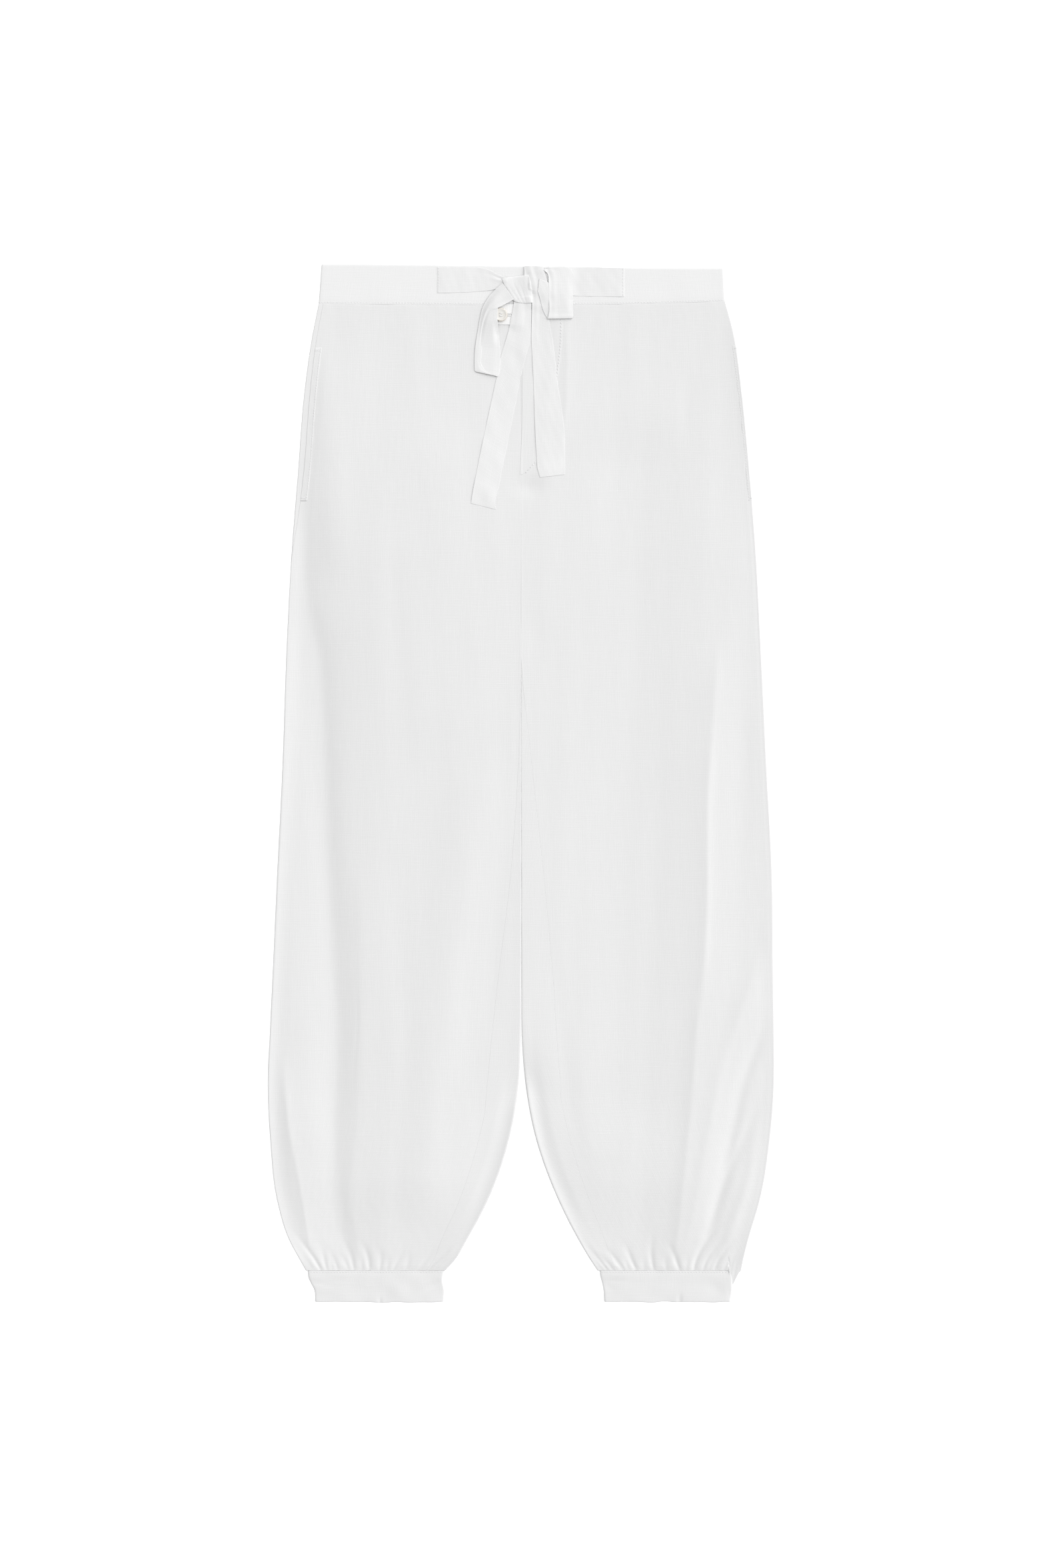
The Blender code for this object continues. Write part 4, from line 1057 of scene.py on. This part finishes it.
addToLay(flyMiddle, 4, 4)

# pocket mouths

pocket = {
    "top": 409.0,
    "bottom": 265.0,
    "stand": {"right": 0.24, "left": 0.12},
    "columns": (0.0, 0.1, 0.3, 0.7, 1.2, 1.9, 2.6, 3.3, 4.0, 4.7, 5.2, 5.7, 6.05, 6.4),
    "stitchColumn": 10,
}


def pocketMouth(side):
    # strip of the front beside the side seam, moved out along the cloth's normals
    y = np.linspace(pocket["top"], pocket["bottom"], 96)
    form = legForm(side, y)
    s = np.array(pocket["columns"])[None, :]
    places = seamPlace(side, y, form[3]) - 0.15 - s
    points = sampleLeg(side, y, form, places)
    normals = gridNormals(points, upwards)
    ends = np.minimum(pocket["top"] - y, y - pocket["bottom"])[:, None]
    stand = pocket["stand"][side] + 0.05 * softNoise(s, y[:, None], 51 + len(side), 12.0, 24.0)
    stand = stand * (1.0 - 0.85 * smoothStep((s - 5.2) / 1.2)) * (0.4 + 0.6 * smoothStep(ends / 1.5))
    stand = stand - 0.08 * bell(s - 4.7, 0.5)
    points = points + normals * stand[..., None]
    uv = np.dstack([np.broadcast_to(s, places.shape), eachColumn(y, places)])
    mouth = gridObject(f"pocketMouth{side.capitalize()}.cloth", points, normals, uv, 0.22)
    dress(mouth, bodyCloth, "leg_cloth", f"pocket_mouth_{side}")
    line = pocket["stitchColumn"]
    sewn = [stitchRow(f"pocketStitch{side.capitalize()}", points[:, line], normals[:, line], length=1.8,
                      gap=0.8)]
    for name, rows in (("Top", slice(0, 5)), ("Bottom", slice(-5, None))):
        path, pathUp = (grid[rows, :line + 1].mean(axis=0) for grid in (points, normals))
        sewn.append(stitchRow(f"pocketTack{name}{side.capitalize()}", path, pathUp, crosswise=True,
                              length=1.5, width=0.42, gap=0.10, height=0.2))
    return [mouth, *sewn]


mouths = {side: pocketMouth(side) for side in sides}
print("fly and pocket mouths made")

# button tab and button

tab = {
    "rows": ((-28, 431.2, -28, 450.2, 0), (-18, 431, -18, 450.2, 0),
             (-8, 430.8, -8, 450.2, 0), (1.2, 430.6, 1.2, 450.2, 0)),
    "holeCentre": (-15.0, 440.2),
    "holeHalf": 6.4,
    "thickness": 1.1,
}
tabMiddle, tabUv = stripMiddle(tab["rows"], softLay(1), step=0.6, columns=26)
inHole = smoothStep((tab["holeHalf"] - np.abs(tabMiddle[..., 0] - tab["holeCentre"][0])) / 0.6)
tabMiddle[..., 2] -= 0.35 * inHole * bell(tabMiddle[..., 1] - tab["holeCentre"][1], 0.35)
tabPiece, tabTop, _ = tube("buttonTab.cloth", tabMiddle, tabUv, tab["thickness"])
dress(tabPiece, tabCloth, "band_cloth", "button_tab")
addToLay(tabTop, 2, 2)
softTab = softLay(1)
holeX = np.linspace(tab["holeCentre"][0] - tab["holeHalf"], tab["holeCentre"][0] + tab["holeHalf"], 40)
for index, offset in enumerate((-1.0, 1.0)):
    holeY = np.full(40, tab["holeCentre"][1] + offset)
    stitchRow(f"buttonholeStitch{index + 1}", np.column_stack([holeX, holeY, readMap(softTab, holeX, holeY)]),
              np.tile(upwards, (40, 1)), slotName="band_cloth", crosswise=True, length=1.3, width=0.4,
              gap=0.03, height=0.4)

button = {
    "centre": (-19.1, 440.2), "radius": 6.25, "height": 2.4, "holeRadius": 0.5, "holePitch": 1.55,
    "threadUp": 2.05,
    # distance from the middle and height
    "profile": ((0.0, 2.00), (3.0, 2.00), (3.75, 2.04), (4.3, 2.15), (4.75, 2.33), (5.2, 2.4), (5.6, 2.38),
                (5.95, 2.2), (6.2, 1.85), (6.25, 1.5), (6.15, 0.9), (5.8, 0.4), (5.0, 0.1), (4.2, 0.0),
                (0.0, 0.0)),
}
buttonX, buttonY = button["centre"]


def turnedButton():
    # the profile turned round its axis, with four holes cut through
    base = float(readMap(softLay(4), np.array([buttonX]), np.array([buttonY]))[0]) + 0.1
    mesh = bpy.data.meshes.new("buttonProfile")
    mesh.from_pydata([(r * mm, 0.0, z * mm) for r, z in button["profile"]], [],
                     [(i, i + 1) for i in range(len(button["profile"]) - 1)])
    blank = placed("buttonBlank", mesh)
    blank.location = (buttonX * mm, buttonY * mm, base * mm)
    turned = blank.modifiers.new("turned", "SCREW")
    turned.steps = turned.render_steps = 56
    turned.use_merge_vertices = True
    turned.merge_threshold = 0.00002
    turned.use_normal_calculate = True
    drills = []
    for index in range(4):
        turn = math.pi / 4 + index * math.pi / 2
        bpy.ops.mesh.primitive_cylinder_add(
            vertices=18, radius=button["holeRadius"] * mm, depth=4 * button["height"] * mm,
            location=((buttonX + button["holePitch"] * math.cos(turn)) * mm,
                      (buttonY + button["holePitch"] * math.sin(turn)) * mm, base * mm))
        drills.append(bpy.context.object)
        blank.modifiers.new(f"hole{index + 1}", "BOOLEAN").object = drills[-1]
    bpy.context.view_layer.update()
    made = bpy.data.meshes.new_from_object(blank.evaluated_get(bpy.context.evaluated_depsgraph_get()))
    made.transform(blank.matrix_world)
    made.name = "buttonDisc"
    for helper in (blank, *drills):
        bpy.data.objects.remove(helper, do_unlink=True)
    made.materials.clear()
    made.shade_smooth()
    made.set_sharp_from_angle(angle=math.radians(40))
    dress(placed("buttonDisc", made), shellGloss, "button_shell", "button")
    return base


buttonBase = turnedButton()
pitch = button["holePitch"] * math.sin(math.pi / 4)
for index, offset in enumerate((-pitch, pitch)):
    x = np.linspace(buttonX - pitch, buttonX + pitch, 9)
    path = np.column_stack([x, np.full(9, buttonY + offset), np.full(9, buttonBase + button["threadUp"])])
    stitchRow(f"buttonThread{index + 1}", path, np.tile(upwards, (9, 1)), slotName="band_cloth",
              length=3.5, width=1.2, height=0.5)
theta = np.linspace(0.0, 2 * math.pi, 60)[None, :]
radii = np.linspace(0.0, button["radius"], 14)[:, None]
addToLay(np.dstack([buttonX + radii * np.cos(theta), buttonY + radii * np.sin(theta),
                    np.full((14, 60), buttonBase + button["height"])]), 2, 2)
print("tab and button made")

# belt: two ties, the knot, two loops and two tails

beltRows = {
    "tieRight": ((-79, 485.4, -79, 460.8, -0.15), (-76, 485.4, -76, 460.8, 0),
                 (-60, 485.4, -60, 461.2, 0),
                 (-42, 485, -42, 462, 0), (-30, 482.4, -30, 463.2, 0.2),
                 (-20.6, 477.5, -20.6, 465, 0.6), (-14, 475, -13, 467, 0.9)),
    "tieLeft": ((97, 484.2, 97, 457.4, -0.15), (94, 484.4, 94, 457.4, 0),
                (75, 485, 75, 457.6, 0),
                (50, 485.4, 50, 458, 0), (30, 484, 30, 459.5, 0.2),
                (13.2, 478, 13.2, 463, 0.5), (8, 475, 8, 465, 0.7)),
    "tailRight": ((-6.2, 456.5, 8.4, 456.5, 0.5), (-7, 450.8, 9.4, 450.8, 0.4),
                  (-9.4, 438, 9.4, 434, 0.2), (-11.6, 427, 9, 420, 0.1),
                  (-18.8, 402.5, 1.4, 390, 0), (-23.5, 380, -5.8, 354.5, 0),
                  (-33.2, 335, -12.2, 322.5, 0), (-41, 297, -20.2, 282.5, 0),
                  (-46.9, 264.7, -23.9, 259, 0), (-47.1, 262.7, -23.5, 257, -0.15)),
    "tailLeft": ((3, 486.2, 20.4, 486.2, 0), (4.2, 481, 22, 480, 0.1), (7.4, 472, 24.6, 470.5, 0.3),
                 (9.8, 463, 25.6, 461, 0.4), (10.2, 452, 26.2, 449, 0.2),
                 (10, 440, 26.8, 433, 0.1), (9.6, 422, 29.8, 415, 0),
                 (11.4, 380.2, 34, 378, 0), (13, 335, 40.4, 333, 0.1),
                 (14.5, 306, 41.3, 304, 0.05), (15.5, 294.5, 41.3, 294, 0),
                 (17.6, 287.2, 40.9, 290, -0.1)),
    "loopRight": ((-21, 465, -20, 453.5, 0.3), (-27, 457.5, -21.6, 448, 0.15),
                  (-33, 448.5, -22.4, 440.5, 0), (-37.5, 436, -22, 430, 0),
                  (-41, 420, -20.8, 418, 0), (-43.4, 402, -19.6, 400, 0),
                  (-44, 392, -20.4, 388, 0), (-43.4, 387.4, -21.4, 383, 0.06),
                  (-42.6, 386.4, -22, 382, 0.10), (-43.2, 387.2, -23.4, 383, 0.16),
                  (-43.8, 389.4, -32, 386.4, 0.22), (-43.9, 393, -36.6, 391.6, 0.22),
                  (-43.7, 404, -37.4, 403.5, 0.24),
                  (-42.4, 416, -36, 415.5, 0.24), (-40.6, 427, -34.4, 427, 0.24),
                  (-39, 436, -32.4, 436, 0.26), (-36.3, 447, -27.6, 443.4, 0.32),
                  (-31, 456.4, -20.2, 447.4, 0.4), (-24.5, 463.8, -12.8, 451.2, 0.5),
                  (-17.5, 470, -7, 454.6, 0.6)),
    "loopLeft": ((15.5, 462, 17, 474, 0), (17.8, 455, 33, 466, 0),
                 (20, 446, 42, 452, 0), (22.6, 440, 46.8, 441.2, 0.1),
                 (24.3, 437.2, 48, 437.6, 0.5), (24.7, 436, 48, 436.4, 0.9),
                 (25, 437, 48.5, 437.4, 1.3), (26, 441.5, 48.9, 442, 1.1),
                 (26.1, 456, 48.7, 457, 0.5), (25.8, 470, 48, 471.5, 0.3),
                 (24.8, 478.6, 46.4, 483.4, 0.24), (22.8, 480.6, 39, 485.8, 0.24),
                 (21.2, 482, 29, 486.2, 0.22)),
}


def pinch(places, depth):
    # folds along the strip, fullest by the knot: place across, width, the shares of the length where
    # each begins and is full, and its part of the depth, below zero for a valley
    def shape(share, run):
        total = 0.0
        for place, wide, low, high, sign in places:
            total = total + sign * depth * smoothStep((run - low) / (high - low)) * bell(share - place, wide)
        return total
    return shape


creases = {
    "tieRight": pinch(((0.22, 0.07, 0.55, 1.0, -0.8), (0.40, 0.10, 0.6, 1.0, 0.9),
                       (0.66, 0.10, 0.7, 1.0, -0.5)), 0.5),
    "tieLeft": pinch(((0.35, 0.12, 0.6, 1.0, -0.8), (0.62, 0.10, 0.6, 1.0, 0.8)), 0.4),
    "tailRight": pinch(((0.30, 0.14, 0.32, 0.0, 0.8), (0.66, 0.12, 0.28, 0.0, -0.9)), 0.4),
    "tailLeft": pinch(((0.0, 0.12, 0.32, 0.10, -0.8), (0.95, 0.28, 0.16, 0.03, 2.0),
                       (0.30, 0.12, 0.22, 0.05, 0.5), (0.45, 0.14, 0.40, 0.12, -0.4)), 0.5),
    "loopRight": pinch(((0.30, 0.10, 0.72, 0.90, 0.8), (0.12, 0.12, 0.72, 0.9, -0.4)), 0.3),
    "loopLeft": pinch(((0.30, 0.14, 0.86, 1.0, -0.8), (0.66, 0.14, 0.86, 1.0, 0.7)), 0.5),
}
beltNodes = {"tieRight": "tie_right", "tieLeft": "tie_left", "tailRight": "tail_right",
             "tailLeft": "tail_left", "loopRight": "loop_right", "loopLeft": "loop_left"}
beltPieces, beltTops = {}, {}


def layStrip(name, reach, turned=False, edgeReach=3):
    # the strip with its own wave, laid on all that is under it
    thickness = belt["thickness"].get(name, belt["otherThickness"])
    middle, uv = stripMiddle(beltRows[name], softLay(reach), turned=turned, crease=creases[name],
                             atEdges=(softLay(min(reach, 3)), softLay(min(reach, edgeReach))),
                             thickness=thickness)
    middle[..., 2] += 0.10 * softNoise(middle[..., 0], middle[..., 1], 61 + len(name), 22.0, 34.0)
    piece, *beltTops[name] = tube(f"{name}.cloth", middle, uv, thickness)
    beltPieces[name] = dress(piece, beltCloth, "belt_cloth", beltNodes[name])


ties = ("tieRight", "tieLeft")
for name in ties:
    layStrip(name, reach=2)
for name in ties:
    upper, normals = beltTops[name]
    stitchRow(f"{name}Stitch", upper[5, 1:-1] + (0.0, 0.0, 0.02), normals[5, 1:-1], slotName="belt_cloth",
              length=1.9, gap=0.8)
    addToLay(upper, 3, 3)
layStrip("tailRight", reach=6)
addToLay(beltTops["tailRight"][0], 3, 3)

knot = {
    # left and right edge, upwards: y, x
    "left": ((452.6, -6.3), (455.5, -8.8), (463.0, -13.6), (470.0, -16.8), (474.3, -18.2)),
    "right": ((451.4, 10.6), (457.0, 10.5), (464.0, 9.8), (471.0, 8.6), (477.6, 7.0)),
    "rise": 0.55,
    "tilt": 0.45,  # how much higher its right side stands
    "columns": 64, "rows": 54,
    # folds of the wrap: place across, slant, width, depth
    "folds": ((0.40, 0.16, 0.035, -0.14), (0.50, 0.16, 0.05, 0.10), (0.62, 0.10, 0.03, -0.10),
              (0.20, 0.24, 0.06, -0.14), (0.82, 0.05, 0.05, 0.08)),
}


def knotSurface():
    # face of the wrap: a dome over a four-sided outline, with slanting folds, closed underneath
    def bunched(count):
        # places from 0 to 1, closer together at both ends
        t = np.linspace(0.0, 1.0, count)
        return 0.5 - 0.5 * np.cos(math.pi * (0.06 + 0.88 * t)) / math.cos(math.pi * 0.06)

    u, v = bunched(knot["columns"])[None, :], bunched(knot["rows"])[:, None]
    left, right = np.array(knot["left"]), np.array(knot["right"])
    leftY = left[0, 0] + (left[-1, 0] - left[0, 0]) * v
    rightY = right[0, 0] + (right[-1, 0] - right[0, 0]) * v
    leftX = throughCurve(left[:, 0], left[:, 1], leftY)
    rightX = throughCurve(right[:, 0], right[:, 1], rightY)
    x = leftX + (rightX - leftX) * u
    y = leftY + (rightY - leftY) * u
    y = y + 1.6 * np.sin(math.pi * u) * (v - 0.62)
    domeU, domeV = (0.3 + 0.7 * np.sqrt(1.0 - np.abs(2 * share - 1) ** 6) for share in (u, v))
    dome = domeU * domeV
    folds = np.zeros(dome.shape)
    for place, slant, wide, depth in knot["folds"]:
        folds += depth * bell(u - (place + slant * (0.5 - v)), wide) * smoothStep((0.95 - v) / 0.6)
    tilt = knot["tilt"] * smoothStep((u - 0.4) / 0.6)
    inner = readMap(softLay(6), x, y)
    rim = np.minimum(readMap(softLay(2), x, y), inner)
    floor = rim + (0.7 * inner.mean() + 0.3 * inner - rim) * smoothStep((dome - 0.1) / 0.8)
    floor = np.maximum(floor, rim)
    upper = np.dstack([x, y, floor + 0.15 + tilt + (knot["rise"] + folds) * dome])
    return upper, np.dstack([x, y, floor + 0.05])


knotUpper, knotLower = knotSurface()
knotNormals = gridNormals(knotUpper, upwards)
knotRing, knotOut = (np.concatenate([front, back[:, ::-1][:, 1:-1]], axis=1)
                     for front, back in ((knotUpper, knotLower), (knotNormals, -knotNormals)))
knotUv = np.dstack([knotRing[..., 0] + 0.4 * knotRing[..., 1], knotRing[..., 1] - 0.4 * knotRing[..., 0]])
knotPiece = gridObject("knot.cloth", knotRing, knotOut, knotUv, ring=True)
fillHoles(knotPiece, merge=0.00001)
beltPieces["knot"] = dress(knotPiece, beltCloth, "belt_cloth", "knot")

layStrip("tailLeft", reach=7)
addToLay(beltTops["tailLeft"][0], 3, 3)
layStrip("loopLeft", reach=8)
addToLay(beltTops["loopLeft"][0], 3, 3)
layStrip("loopRight", reach=24, turned=True, edgeReach=12)
print("belt tied")

print("no cut sizes given")

# floor, light and camera

studio = {
    "floorColour": (0.97, 0.97, 0.97), "floorGlow": 0.5, "world": 0.602,
    "sun": 2.545, "sunWidth": 90.0, "sunHeight": 35.0, "sunTurn": 36.0,  # degrees above and from +X to +Y
    "frameHeight": 1.4747, "lens": 100.0, "film": 36.0, "centre": (0.00125, -0.00063),
}
bpy.ops.mesh.primitive_grid_add(x_subdivisions=4, y_subdivisions=4, size=8.0, location=(0.0, 0.0, -0.0004))
floor = bpy.context.object
floor.name = "floor"
floorFinish, floorTree, floorShader = newMaterial("floorFinish")
feed(floorTree, floorShader, {
    "Base Color": (*studio["floorColour"], 1.0), "Roughness": 0.9, "Specular IOR Level": 0.0,
    "Emission Color": (1.0, 1.0, 1.0, 1.0), "Emission Strength": studio["floorGlow"],
})
floor.data.materials.append(floorFinish)

world = bpy.context.scene.world or bpy.data.worlds.new("studio")
bpy.context.scene.world = world
world.use_nodes = True
feed(world.node_tree, world.node_tree.nodes["Background"],
     {"Color": (1.0, 1.0, 1.0, 1.0), "Strength": studio["world"]})

lampData = bpy.data.lights.new("softLamp", "SUN")
lampData.angle = math.radians(studio["sunWidth"])
lampData.energy = studio["sun"]
lamp = placed("softLamp", lampData)
lamp.rotation_euler = (math.radians(90.0 - studio["sunHeight"]), 0.0, math.radians(studio["sunTurn"] + 90.0))

cameraData = bpy.data.cameras.new("camera")
cameraData.sensor_fit = "VERTICAL"
cameraData.sensor_height = studio["film"]
cameraData.lens = studio["lens"]
cameraData.clip_end = 100.0
camera = placed("camera", cameraData)
camera.location = (*studio["centre"], studio["frameHeight"] * studio["lens"] / studio["film"])
bpy.context.scene.camera = camera
bpy.context.scene.view_settings.view_transform = "Standard"
print("stage set")
